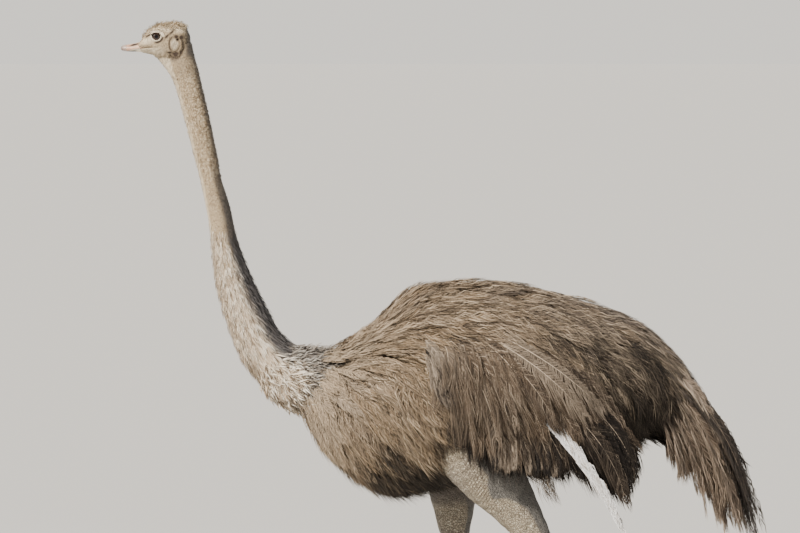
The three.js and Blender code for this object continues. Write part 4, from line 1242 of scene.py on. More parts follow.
def plate_shape():
    """One plate, curved round an axis of unit length and radius, with a rounded, raised free end."""
    columns, rows = PLATE_SHAPE["columns"], PLATE_SHAPE["rows"]
    across, down = np.meshgrid(np.linspace(-1, 1, columns + 1), np.linspace(0, 1, rows + 1), indexing="ij")
    rim = (1 - np.abs(across) ** 6) * np.minimum(np.minimum(down / 0.12, (1 - down) / 0.12), 1) ** 0.6
    reach = 1 + PLATE_SHAPE["thick"] * (0.25 + 1.1 * down) * rim
    angle = np.radians(PLATE_SHAPE["arc"]) * across * (1 - 0.1 * down**3)
    length = down - 0.5 + 0.10 * (1 - across**2) * down
    top = np.stack([reach * np.cos(angle), reach * np.sin(angle), length], axis=-1)
    bottom = np.stack([0.93 * np.cos(angle), 0.93 * np.sin(angle), length], axis=-1)
    points = np.concatenate([top.reshape(-1, 3), bottom.reshape(-1, 3)])
    i, j = np.meshgrid(np.arange(columns), np.arange(rows), indexing="ij")
    corner = i * (rows + 1) + j
    sheet = np.stack([corner, corner + rows + 1, corner + rows + 2, corner + 1], axis=-1).reshape(-1, 4)
    under = len(points) // 2
    column = rows + 1
    edge = [k * column for k in range(columns + 1)]
    edge += [columns * column + k for k in range(1, column)]
    edge += [k * column + rows for k in range(columns - 1, -1, -1)]
    edge = np.array(edge + list(range(rows - 1, 0, -1)))
    after = np.roll(edge, -1)
    wall = np.stack([edge, edge + under, after + under, after], axis=-1)
    return points, np.concatenate([sheet, sheet[:, ::-1] + under, wall])


def shapes_on(tree, given, points, rotation, scale):
    """The given shape set on every point, as one mesh."""
    shape = node(tree, "GeometryNodeObjectInfo", Object=given["Shape"]).outputs["Geometry"]
    places = {"Points": points, "Instance": shape, "Rotation": rotation, "Scale": scale}
    shapes = node(tree, "GeometryNodeInstanceOnPoints", **places)
    return node(tree, "GeometryNodeRealizeInstances", Geometry=shapes.outputs["Instances"]).outputs[0]


def planting_tree():
    """Sets a shape on points that carry the way out, the way it lies, and its size."""
    inputs = {"Points": "Geometry", "Shape": "Object", "Finish": "Material"}
    tree, given, result, sockets = new_tree("planting", "GeometryNodeTree", inputs, {"Geometry": "Geometry"})
    read = []
    for name in ("out", "lie", "size"):
        layer = node(tree, "GeometryNodeInputNamedAttribute", {"data_type": "FLOAT_VECTOR"}, Name=name)
        read.append(layer.outputs["Attribute"])
    out, lie, size = read
    axes = {"primary_axis": "X", "secondary_axis": "Z"}
    turned = node(tree, "FunctionNodeAxesToRotation", axes, Primary_Axis=out, Secondary_Axis=lie)
    solid = shapes_on(tree, given, given["Points"], turned.outputs["Rotation"], size)
    done = node(tree, "GeometryNodeSetMaterial", Geometry=solid, Material=given["Finish"])
    tree.links.new(done.outputs["Geometry"], result["Geometry"])
    return tree, sockets


def grown(name, tree, sockets, field, values):
    """The plain mesh that a tree makes of a field of points, as a piece of its own."""
    carrier = bpy.data.objects.new(name, field)
    bpy.context.scene.collection.objects.link(carrier)
    modifier = carrier.modifiers.new("growth", "NODES")
    modifier.node_group = tree
    for socket, value in values.items():
        modifier[sockets[socket]] = value
    evaluated = carrier.evaluated_get(bpy.context.evaluated_depsgraph_get())
    mesh = bpy.data.meshes.new_from_object(evaluated)
    mesh.name = name
    carrier.modifiers.remove(modifier)
    carrier.data = mesh
    return carrier


def points_mesh(name, points, **vectors):
    mesh = bpy.data.meshes.new(name)
    mesh.vertices.add(len(points))
    mesh.vertices.foreach_set("co", np.asarray(points, np.float32).ravel())
    for attribute, content in vectors.items():
        store(mesh, attribute, "FLOAT_VECTOR", content)
    return mesh


plate_finish, tree, surface = finish("leg_plates", 0.42, 0.4)
where = object_place(tree)
height, pits = creased(tree, where, 520.0, 70.0)
colour = coated(
    tree,
    PLATE_COLOURS["horn"],
    (ramped(tree, noise(tree, where, 55.0, 5.0), 0.35, 0.65), 1.0, PLATE_COLOURS["worn"]),
    # Painted shade along the plates' crease lines.
    (pits, 0.35, PLATE_COLOURS["rim"]),
    (value_of(tree, "rim"), 0.8, PLATE_COLOURS["rim"]),
)
dressed(tree, surface, colour, height, 0.0005)

points, quads = plate_shape()
plate = bpy.data.objects.new("plate", mesh_of("plate", points, quads))
order = np.arange(len(points))
down = (order % (PLATE_SHAPE["rows"] + 1)) / PLATE_SHAPE["rows"]
underside = order >= len(points) // 2
store(plate.data, "rim", "FLOAT", (smooth_step(0.25, 0.0, down) + underside).clip(0, 1))
plate.data.polygons.foreach_set("use_smooth", np.full(len(plate.data.polygons), True))
bpy.context.scene.collection.objects.link(plate)
planting, planting_sockets = planting_tree()
for name, joint in JOINTS.items():
    centres, outs, lies, sizes = [], [], [], []
    for row, form, toward_tip in (
        ("shank", limb(joint["ankle"], joint["foot"], SHANK), 1),
        ("big", toe_form(joint, BIG_TOE), -1),
        ("small", toe_form(joint, SMALL_TOE), -1),
    ):
        rule = PLATE_ROWS[row]
        stations = np.linspace(rule["from"], rule["to"], rule["count"])
        here = section_at(form, stations)
        ahead = section_at(form, stations + 0.03)[:, :3] - section_at(form, stations - 0.03)[:, :3]
        step = np.linalg.norm(ahead, axis=1) / 0.06 * (stations[1] - stations[0])
        front = on_form(form, stations, rule["front"], 0.0)
        centres.append(here[:, :3])
        outs.append(front - here[:, :3])
        lies.append(ahead * toward_tip)
        reach = np.linalg.norm(front - here[:, :3], axis=1)
        sizes.append(np.stack([reach, here[:, 5] * rule["wide"], step * PLATE_OVERLAP], axis=-1))
    centres, outs, lies, sizes = (np.concatenate(parts) for parts in (centres, outs, lies, sizes))
    field = points_mesh("plates", placed(centres), out=outs, lie=lies, size=sizes / 1000)
    values = {"Shape": plate, "Finish": plate_finish}
    plates = grown(f"leg_plates_{name}", planting, planting_sockets, field, values)
    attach(plates, "root")
    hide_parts(f"shank_{name}", f"toe_big_{name}", f"toe_small_{name}")
bpy.data.objects.remove(plate)

# ---- Claws ---------------------------------------------------------------------------------------
# Only the big toe bears a claw, a blunt dark hoof-like nail. It grows out of the toe's end.

CLAW = [
    (296, -4, 7, 2, 3, 3),
    (282, -4, 13, 6, 8, 7),
    (262, -4, 19, 10, 10, 10),
    (240, -4, 22, 11, 10, 11),
]
CLAW_BOTTOM = 4.2
CLAW_COLOURS = {"horn": (0.085, 0.070, 0.056, 1), "worn": (0.33, 0.28, 0.22, 1)}

claw_finish, tree, surface = finish("claw", 0.35, 0.5)
stretch = node(tree, "ShaderNodeMapping", Vector=object_place(tree), Scale=(1, 6, 6))
grain = noise(tree, stretch.outputs[0], 60.0, 6.0)
colour = mixed(tree, ramped(tree, grain, 0.45, 0.7), CLAW_COLOURS["horn"], CLAW_COLOURS["worn"])
dressed(tree, surface, colour, grain, 0.0006)

for name, joint in JOINTS.items():
    points, quads, fans = even_tube(toe_form(joint, CLAW), 60, 40, 0.0)
    points[:, 2] = np.maximum(points[:, 2], CLAW_BOTTOM)
    claw = shown(f"claw_nail_{name}", claw_finish, placed(points), quads, fans)
    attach(claw, "root")
    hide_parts(f"claw_{name}")

# ---- Body plumage --------------------------------------------------------------------------------
# An ostrich's plumes have no hooks between their barbs, so each one hangs as a loose, wavy fringe from
# its quill. They grow from the hide in dense rows, and lie back along the body and down its flanks.

ROW_STEP = 22.0  # between rows of plumes, and between neighbours in a row
# Barbs to a side, half width of a barb, bare share of the quill, angles of the barbs at root and tip,
# how uneven they are, how far they stand off and sag, and how much their tones differ.
BODY_PLUME = {
    "barbs": 42,
    "blade": 1.05,
    "bare": 0.05,
    "open": (36, 8),
    "ragged": 0.3,
    "fluff": 8.0,
    "sag": 3.0,
    "contrast": 1.2,
}
TIP_LIFT = -2.0
WHITE_PLUME = (0.94, 0.93, 0.92, 1)
# Stretches of the body, by the station where each begins, each a piece of its own.
BODY_STRETCHES = {
    "neck_base": 11.7,
    "breast": 12.9,
    "shoulders": 14.3,
    "back": 15.6,
    "loins": 17.0,
    "rump": 18.3,
}
BODY_END = 20.3
# How far the tips of the lowest plumes hang down, by station.
BELLY_DROOP = {"station": [12, 12.6, 13.2, 14, 16, 17.5, 19], "droop": [-12, -1, -5, -17, 10, 12, 34]}


def read_along(values, share):
    """Values given at even steps along each plume, read at shares of its length."""
    steps = values.shape[1] - 1
    at = np.clip(share, 0, 1) * steps
    low = np.minimum(at.astype(int), steps - 1)
    rest = (at - low)[..., None]
    plume = np.arange(len(values)).reshape((-1,) + (1,) * (share.ndim - 1))
    return values[plume, low] * (1 - rest) + values[plume, low + 1] * rest


def wavering(random, shape, waves):
    """Smooth random values from -1 to 1 along the last axis, for barbs that cling together."""
    knots = random.uniform(-1, 1, shape[:-1] + (waves + 2,))
    at = np.linspace(0, waves, shape[-1])
    low = at.astype(int)
    rest = at - low
    rest = rest * rest * (3 - 2 * rest)
    return knots[..., low] * (1 - rest) + knots[..., low + 1] * rest


def plumes(spines, outward, half_width, look, tint, roots, random):
    """Plumes on spines of even steps: per side a row of barbs, each a twisted blade, and a roofed quill.
    Gives points, quads, triangles, and each point's plume, tint and bake values."""
    count, steps = spines.shape[:2]
    barbs = look["barbs"]
    along = unit(np.gradient(spines, axis=1))
    beside = unit(np.cross(along, outward))
    outward = np.cross(beside, along)
    size = (count, 2, barbs)
    share = (np.arange(barbs) + random.uniform(0.1, 0.9, size)) / barbs
    share = look["bare"] + (1 - look["bare"]) * share
    root, forward, across, out = (read_along(values, share) for values in (spines, along, beside, outward))
    across = across * np.array([-1.0, 1.0])[:, None, None]
    cling = wavering(random, size, max(barbs // 5, 2))
    fullness = 0.34 + 0.66 * np.sin(np.pi * share**0.8) ** 0.7
    ragged = look.get("ragged", 0.18)
    uneven = 0.86 + 0.2 * cling + random.uniform(-ragged, ragged, size)
    reach = half_width[:, None, None] * fullness * uneven
    wide, narrow = look["open"]
    angle = np.radians(wide + (narrow - wide) * share**0.8 + 9 * cling + random.normal(0, 22 * ragged, size))
    reach = (reach / np.clip(np.sin(angle), 0.34, 1))[..., None]
    first = (angle + 0.22)[..., None]
    last = (angle - 0.16)[..., None]
    toward_middle = across * np.sin(first) + forward * np.cos(first)
    toward_tip = across * np.sin(last) + forward * np.cos(last)
    fluff = look["fluff"] * random.uniform(-0.3, 1, size)[..., None]
    middle = root + toward_middle * reach * 0.5 + out * fluff * 0.7
    tip = root + toward_tip * reach + out * fluff
    tip[..., 2] -= look["sag"] * (reach[..., 0] / 40) ** 2
    half_blade = look["blade"] * (0.8 + 0.4 * random.uniform(0, 1, size))[..., None]
    edgeways = forward * np.sin(first) - across * np.cos(first)
    twist = np.radians(random.uniform(-38, 38, size))[..., None]
    edgeways = (edgeways * np.cos(twist) + out * np.sin(twist)) * half_blade
    start = forward * half_blade
    points = np.stack([root - start, root + start, middle - edgeways, middle + edgeways, tip], axis=3)
    blade = (np.arange(count * 2 * barbs) * 5).reshape(size)
    left, right = blade[:, 0].reshape(-1, 1), blade[:, 1].reshape(-1, 1)
    quads = np.concatenate([left + [1, 3, 2, 0], right + [0, 2, 3, 1]])
    fans = np.concatenate([left + [3, 4, 2], right + [2, 4, 3]])
    values = np.zeros(points.shape[:-1] + (4,))
    values[..., 0] = share[..., None]
    values[..., 1] = np.array([0, 0, 0.5, 0.5, 1])
    tone = 0.24 * wavering(random, size, max(barbs // 4, 2)) + random.uniform(-0.32, 0.32, size)
    tone = 0.5 + look.get("contrast", 1) * tone
    values[..., 2] = tone[..., None]
    aside = np.broadcast_to(np.array([-1.0, 1.0])[:, None, None], points.shape[1:-1]) * values[..., 1]
    bake = np.stack([values[..., 0] - 0.5, aside / 2], axis=-1)
    owner = np.repeat(np.arange(count), 2 * barbs * 5)

    thick = look.get("quill", 0.7) * (1.1 - np.linspace(0, 1, steps))[None, :, None]
    ribs = np.stack([spines - beside * thick, spines + outward * thick, spines + beside * thick], axis=2)
    first_rib = points.size // 3
    rib = first_rib + (np.arange(count)[:, None] * steps + np.arange(steps - 1)) * 3
    rib = rib.reshape(-1, 1)
    quads = np.concatenate([quads, rib + [0, 1, 4, 3], rib + [1, 2, 5, 4]])
    rib_values = np.zeros(ribs.shape[:-1] + (4,))
    rib_values[..., 0] = np.linspace(0, 1, steps)[:, None]
    rib_values[..., 2] = 0.5
    rib_values[..., 3] = 1
    rib_bake = np.stack([rib_values[..., 0] - 0.5, np.zeros(ribs.shape[:-1])], axis=-1)
    owner = np.concatenate([owner, np.repeat(np.arange(count), steps * 3)])
    points = np.concatenate([points.reshape(-1, 3), ribs.reshape(-1, 3)])
    values = np.concatenate([values.reshape(-1, 4), rib_values.reshape(-1, 4)])
    bake = np.concatenate([bake.reshape(-1, 2), rib_bake.reshape(-1, 2)])
    return points, quads, fans, values, tint[owner], roots[owner] + bake * 0.003


def plumage(name, bunches, material, nodes):
    """One coat piece from bunches of plumes."""
    points, quads, fans = joined([bunch[:3] for bunch in bunches])
    values, tints, bake = (np.concatenate([bunch[k] for bunch in bunches]) for k in (3, 4, 5))
    piece = shown(name, material, placed(points), quads, fans)
    store(piece.data, "plume", "FLOAT_COLOR", values)
    store(piece.data, "tint", "FLOAT_COLOR", tints)
    corners = np.concatenate([quads.ravel(), fans.ravel()])
    unwrap = piece.data.uv_layers.new(name="OFBake")
    unwrap.data.foreach_set("uv", bake[corners].astype(np.float32).ravel())
    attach(piece, "root")
    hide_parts(*nodes)
    return piece


def root_place(station, angle):
    """Where a root lies on an unwrap of the trunk."""
    return np.stack([angle / (2 * np.pi) + 0.5, station / (len(TRUNK) - 1)], axis=-1)


def body_spines(station, angle, turn, length, steps, root_lift, tip_lift, droop):
    """Spines that leave the trunk at turn from its own line, and rise from root lift to tip lift."""
    size = 0.05
    forward = on_form(TRUNK, station + size, angle) - on_form(TRUNK, station - size, angle)
    around = on_form(TRUNK, station, angle + size) - on_form(TRUNK, station, angle - size)
    per_station = np.linalg.norm(forward, axis=-1) / (2 * size)
    per_turn = np.linalg.norm(around, axis=-1) / (2 * size)
    share = np.linspace(0, 1, steps)
    stations = station[:, None] + (length * np.cos(turn) / per_station)[:, None] * share
    angles = angle[:, None] + (length * np.sin(turn) * np.sign(angle) / per_turn)[:, None] * share
    rise = np.sin(share * np.pi / 2) ** 0.8
    lift = root_lift[:, None] + (tip_lift - root_lift)[:, None] * rise
    last = len(TRUNK) - 1.15
    past = np.maximum(stations - last, 0)[..., None]
    spines = on_form(TRUNK, np.minimum(stations, last), angles, lift)
    end = on_form(TRUNK, last + 0.1, angles, lift) - on_form(TRUNK, last, angles, lift)
    spines = spines + past * end * 10
    spines[..., 2] -= droop[:, None] * share**2.2
    outward = unit(on_form(TRUNK, np.minimum(stations, last), angles, lift + 5) - spines)
    return spines, outward


def scattered_roots(random, low, high, step):
    """Roots in staggered, loosened rows round the trunk: stations and angles."""
    stations, angles = [], []
    station = low
    row = 0
    while station < high:
        here = section_at(TRUNK, station)
        ahead = np.linalg.norm(section_at(TRUNK, station + 0.02)[:3] - here[:3]) / 0.02
        ring = on_form(TRUNK, station, np.linspace(0, 2 * np.pi, 60))
        loop = np.linalg.norm(np.diff(ring, axis=0), axis=1).sum()
        count = int(loop / step)
        turn = (np.arange(count) + 0.5 * (row % 2) + random.uniform(-0.35, 0.35, count)) / count
        angles.append((turn * 2 * np.pi + np.pi) % (2 * np.pi) - np.pi)
        stations.append(station + random.uniform(-0.4, 0.4, count) * step / ahead)
        station += step / ahead
        row += 1
    return np.concatenate(stations), np.concatenate(angles)


def clumping(station, angle, phase):
    """A smooth value from -1 to 1 over the body, by which plumes near each other stray alike."""
    first = np.sin(7.1 * station + 5.3 * angle + phase) * np.sin(3.7 * station - 8.9 * angle + 2 * phase)
    second = np.sin(13.7 * station - 3.1 * angle + 3 * phase) * np.sin(4.3 * station + 14.9 * angle - phase)
    return 0.6 * first + 0.4 * second


def lie_of_body(station, angle):
    """How far plumes turn from the trunk's line towards the belly, and their length and half width."""
    flank = np.sin(np.clip(np.abs(angle), 0, np.pi)) ** 0.8
    steep = np.interp(station, [11.5, 13, 14.5, 16, 17.5, 19.5], [16, 40, 58, 52, 46, 38])
    upper = smooth_step(0.35, 1.2, np.abs(angle))
    turn = np.radians(4 + steep * flank * upper)
    length = np.interp(station, [11.2, 12, 13, 14.5, 17.5, 19.5], [70, 105, 140, 165, 175, 170])
    half_width = np.interp(station, [11.2, 12, 14, 17, 19.5], [13, 19, 27, 28, 24])
    return turn, length, half_width


def body_tint(station, angle, random):
    """Shares of grey, partly painted sheen, and of dark, partly painted shade; the plume's own tone; and how
    pale it is: 0.5 is pale, 1 is white.
    """
    down = np.abs(angle)
    grey = np.interp(station, [12, 14, 16, 18, 20], [0.3, 0.1, 0.35, 0.75, 0.8])
    # Greyer along the top of the back: partly the plumage's own grey, partly painted sheen.
    grey = grey + 0.2 * smooth_step(0.9, 0.2, down) * smooth_step(13, 15, station)
    grey = grey + 0.35 * clumping(0.7 * station, 0.7 * angle, 2.3)
    # Painted shade: darker under the belly, at the groin before the thigh and in the hollow between wing and
    # tail.
    belly = 1.15 * smooth_step(1.5, 2.15, down) * smooth_step(12.6, 14.0, station)
    groin = 1.3 * bell((station - 14.6) / 0.7, 1) * bell((down - 2.15) / 0.45, 1)
    rear = np.interp(station, [15.5, 17, 18.5, 20], [0, 0.58, 0.74, 0.6]) * smooth_step(0.3, 0.8, down)
    hollow = 1.3 * smooth_step(1.05, 1.5, down) * smooth_step(17.0, 18.0, station)
    dark = np.maximum.reduce([belly, groin, rear, hollow])
    shoulder = 0.14 * bell((station - 13.2) / 1.1, 1) * smooth_step(1.7, 1.1, down)
    pale = np.maximum(0.24 * smooth_step(13.3, 12.2, station), shoulder)
    stray = random.normal(0, 0.1, station.shape)
    dark = dark + random.normal(0, 0.2, station.shape) * smooth_step(0.1, 0.6, dark)
    tone = np.clip(0.5 + 0.22 * clumping(station, angle, 4.1) + random.normal(0, 0.2, station.shape), 0, 1)
    return np.stack([np.clip(grey + stray, 0, 1), np.clip(dark + stray, 0, 1), tone, pale], axis=-1)


def plume_colour_group():
    """Colour and height of a plume, from where on it a point lies and from its tint."""
    inputs = dict.fromkeys(("Warm", "Grey", "Dark", "Pale", "White", "Quill"), "Color")
    inputs["Fringe"] = "Float"
    outputs = {"Color": "Color", "Height": "Float"}
    group, given, result, _ = new_tree("plume_colours", "ShaderNodeTree", inputs, outputs)
    along, aside, barb_tone, quill = channels(group, "plume")
    grey, darkness, plume_tone, pale = channels(group, "tint")
    where = object_place(group)
    strand = noise(group, where, 420.0)
    cloud = reckon(group, "MULTIPLY_ADD", noise(group, where, 9.0, 3.0), 0.7, -0.38)
    dark = reckon(group, "ADD", darkness, cloud)
    tone = reckon(group, "ADD", times(group, barb_tone, 0.7), times(group, plume_tone, 0.3))
    light = times(group, ramped(group, tone, 0.5, 0.84), 0.75)
    edge = times(group, times(group, aside, given["Fringe"]), times(group, tone, 1.1))
    hidden = times(group, ramped(group, dark, 0.2, 1.0), 0.78)
    light = times(group, reckon(group, "MAXIMUM", light, edge), reckon(group, "SUBTRACT", 1.0, hidden))
    light = reckon(group, "MAXIMUM", light, ramped(group, pale, 0.0, 0.5))
    colour = coated(
        group,
        given["Warm"],
        (grey, 1.0, given["Grey"]),
        (ramped(group, dark, 0.05, 0.95), 1.0, given["Dark"]),
        (ramped(group, tone, 0.56, 0.16), 0.88, given["Dark"]),
        # Painted shade: each plume darkens towards its root, where the plumes over it hide it.
        (ramped(group, along, 0.55, 0.0), 0.7, given["Dark"]),
        (light, 1.0, given["Pale"]),
        (ramped(group, pale, 0.5, 1.0), ramped(group, barb_tone, -0.1, 0.6), given["White"]),
        (ramped(group, strand, 0.56, 0.4), 0.35, given["Dark"]),
        (quill, 0.75, given["Quill"]),
    )
    group.links.new(colour, result["Color"])
    group.links.new(strand, result["Height"])
    return group


plume_colours = plume_colour_group()


def plume_finish(name, warm, grey, dark, pale, quill, fringe):
    material, tree, surface = finish(name, 0.72, 0.14)
    given = {"Warm": warm, "Grey": grey, "Dark": dark, "Pale": pale, "Quill": quill, "Fringe": fringe}
    colours = node(tree, "ShaderNodeGroup", {"node_tree": plume_colours}, White=WHITE_PLUME, **given)
    dressed(tree, surface, colours.outputs["Color"], colours.outputs["Height"], 0.0006)
    surface.inputs["Sheen Weight"].default_value = 0.03
    surface.inputs["Sheen Roughness"].default_value = 0.5
    return material


body_finish = plume_finish(
    "body_plumes",
    warm=(0.25, 0.168, 0.094, 1),
    grey=(0.142, 0.115, 0.100, 1),
    dark=(0.011, 0.009, 0.008, 1),
    pale=(0.58, 0.465, 0.335, 1),
    quill=(0.40, 0.30, 0.21, 1),
    fringe=0.35,
)

random = np.random.default_rng(17)
stretch_starts = list(BODY_STRETCHES.values()) + [BODY_END]
for number, stretch in enumerate(BODY_STRETCHES):
    station, angle = scattered_roots(random, stretch_starts[number], stretch_starts[number + 1], ROW_STEP)
    turn, length, half_width = lie_of_body(station, angle)
    turn = turn + math.radians(13) * clumping(station, angle, 0.4)
    turn = turn + random.normal(0, math.radians(5), station.shape)
    length = length * random.uniform(0.75, 1.15, station.shape)
    half_width = half_width * random.uniform(0.85, 1.15, station.shape)
    depth = hide_depth(station)
    root_lift = -np.maximum(depth, 6) - 2
    stray = 5 * clumping(station, angle, 1.7) + random.normal(0, 3.5, station.shape)
    down = np.abs(angle)
    over_wing = bell(down - 0.85, 0.3) * smooth_step(13.9, 14.6, station)
    over_wing = over_wing * smooth_step(18.2, 17.4, station)
    before_wing = bell(station - 14.55, 0.5) * smooth_step(0.5, 0.9, down) * smooth_step(1.75, 1.4, down)
    over_wing = np.maximum(over_wing, before_wing)
    underneath = smooth_step(1.9, 2.6, down)
    tip_lift = TIP_LIFT + stray - 0.15 * depth + 20 * over_wing
    tip_lift = tip_lift - 14 * bell(station - 11.8, 0.4) * underneath
    droop = np.interp(station, BELLY_DROOP["station"], BELLY_DROOP["droop"]) * underneath
    droop = droop * random.uniform(0.3, 1.3, station.shape)
    spines, outward = body_spines(station, angle, turn, length, 6, root_lift, tip_lift, droop)
    tint = body_tint(station, angle, random)
    bunch = plumes(spines, outward, half_width, BODY_PLUME, tint, root_place(station, angle), random)
    plumage(f"plumes_{stretch}", [bunch], body_finish, ["torso"])

# ---- Wings ---------------------------------------------------------------------------------------
# The wings hang folded on the flanks: long soft plumes in overlapping tiers, brown with pale quills,
# and a few white ones that show through beneath. All are rooted along the arm.
# Roots and tips of a tier run along two lines of [x, z], front to back. Its lift off the flank is given
# at root and tip, its tint as grey, dark and white, its streaks as the share of pale plumes, and any painted
# shade on its middle.

WING_PLUME = {
    "barbs": 96,
    "blade": 1.2,
    "bare": 0.03,
    "open": (40, 13),
    "fluff": 5.0,
    "sag": 9.0,
    "quill": 1.7,
}
WING_TIERS = {
    "remiges": {
        "count": 34,
        "roots": [[-5, 1080], [8, 1060], [28, 1055], [55, 1055], [110, 1055], [165, 1050], [240, 1030]],
        "tips": [[22, 884], [90, 832], [160, 776], [286, 752], [396, 742], [496, 690], [545, 770]],
        "stray": 7,
        "lift": (-8, 2),
        "half_width": 38,
        "bow": 30,
        # The remiges are painted dark as the shade under the folded wing.
        "tint": (0.6, 1.0, 0),
    },
    "greater coverts": {
        "count": 24,
        "roots": [[-8, 1095], [4, 1085], [34, 1085], [90, 1085], [190, 1065]],
        "tips": [[26, 876], [142, 818], [270, 792], [400, 795], [515, 795]],
        "lift": (4, 18),
        "half_width": 36,
        "bow": 30,
        # Painted shade on the middle of the tier, along the wing's lower edge.
        "shade": 0.5,
        "tint": (0.2, 0.3, 0),
    },
    "lesser coverts": {
        "count": 24,
        "roots": [[-16, 1120], [4, 1125], [44, 1130], [110, 1120], [200, 1095]],
        "tips": [[20, 950], [150, 905], [290, 860], [420, 832], [535, 805]],
        "lift": (6, 30),
        "half_width": 33,
        "bow": 26,
        "tint": (0.15, 0.15, 0),
    },
    "marginal coverts": {
        "count": 28,
        "roots": [[-25, 1130], [-5, 1150], [44, 1165], [120, 1160], [220, 1120]],
        "tips": [[20, 1015], [130, 985], [250, 948], [370, 915], [490, 880]],
        "lift": (-20, 34),
        "half_width": 30,
        "bow": 20,
        "tint": (0.2, 0.08, 0),
    },
    "long quills": {
        "seed": 71,
        "count": 5,
        "roots": [[38, 1085], [80, 1110], [125, 1115], [150, 1130]],
        "tips": [[168, 830], [236, 885], [352, 912], [450, 905]],
        "stray": 12,
        "lift": (10, 45),
        "half_width": 27,
        "streaks": 0.4,
        "bow": 20,
        "tint": (0.35, 0.15, 0),
        "look": {
            **WING_PLUME,
            "barbs": 90,
            "blade": 1.1,
            "bare": 0.1,
            "open": (44, 18),
            "sag": 16.0,
            "quill": 1.15,
        },
    },
    "wrist tufts": {
        "count": 12,
        "streaks": 0.35,
        "roots": [[-40, 1105], [-30, 1045], [-18, 985]],
        "tips": [[-6, 1040], [4, 985], [22, 930]],
        "lift": (16, 34),
        "half_width": 18,
        "bow": 5,
        "look": {
            **WING_PLUME,
            "barbs": 50,
            "blade": 1.1,
            "open": (38, 12),
            "fluff": 6.0,
            "sag": 4.0,
            "quill": 0.4,
        },
        "tint": (0.9, 0.6, 0),
    },
    "white plumes": {
        "count": 2,
        "roots": [[213, 966], [217, 962]],
        "tips": [[512, 584], [508, 576]],
        "stray": 3,
        "lift": (14, 42),
        "half_width": 20,
        "bow": 28,
        "tint": (0.6, 0.0, 1.0),
        "look": {
            "barbs": 170,
            "blade": 1.4,
            "bare": 0.1,
            "open": (27, 9),
            "fluff": 4.0,
            "sag": 3.0,
            "quill": 1.0,
        },
    },
    "last remiges": {
        "count": 5,
        "look": {**WING_PLUME, "quill": 0.9},
        "roots": [[232, 985], [290, 1010]],
        "tips": [[514, 668], [538, 748]],
        "stray": 6,
        "lift": (4, 44),
        "half_width": 30,
        "bow": 40,
        "tint": (0.4, 0.75, 0),
    },
    "thigh fringe": {
        "count": 16,
        "roots": [[135, 845], [300, 840]],
        "tips": [[152, 764], [330, 744]],
        "stray": 5,
        "lift": (12, 16),
        "half_width": 15,
        "streaks": 0.45,
        "bow": 6,
        "tint": (0.9, 0.95, 0),
    },
    "wisps": {
        "count": 3,
        "roots": [[250, 790], [290, 785]],
        "tips": [[292, 690], [326, 668]],
        "stray": 5,
        "lift": (-4, 8),
        "half_width": 20,
        "bow": -8,
        "tint": (0.1, 0.3, 0),
        "look": {
            "barbs": 18,
            "blade": 0.5,
            "bare": 0.2,
            "open": (30, 8),
            "fluff": 6.0,
            "sag": 8.0,
            "quill": 0.6,
        },
    },
}
FLANK_TURNS = {"above": 0.9, "below": 0.37}
WING_STRAY = 12.0
SPINE_STEPS = 12


def line_at(points, share):
    """A point on a smooth line through [x, z] points, at shares of its length."""
    points = np.asarray(points, float)
    return section_at(points, np.asarray(share) * (len(points) - 1))


def curve(root, pull, tip):
    """Curved paths from roots to tips, drawn towards a third point each."""
    t = np.linspace(0, 1, SPINE_STEPS)[:, None, None]
    return ((1 - t) ** 2 * root + 2 * t * (1 - t) * pull + t**2 * tip).transpose(1, 0, 2)


TORSO_STATIONS = np.linspace(11.5, 21, 200)
TORSO_MIDDLE = section_at(TRUNK, TORSO_STATIONS)


def flank(x, z):
    """Half the width of the feathered torso at points of a side view."""
    station = np.interp(x, TORSO_MIDDLE[:, 0], TORSO_STATIONS)
    here = section_at(TRUNK, station)
    rise = z - here[..., 2]
    above = np.minimum(rise / here[..., 3], FLANK_TURNS["above"])
    below = np.minimum(-rise / here[..., 4], FLANK_TURNS["below"])
    share = np.where(rise > 0, above, below)
    return here[..., 5] * np.sqrt(1 - share * share)


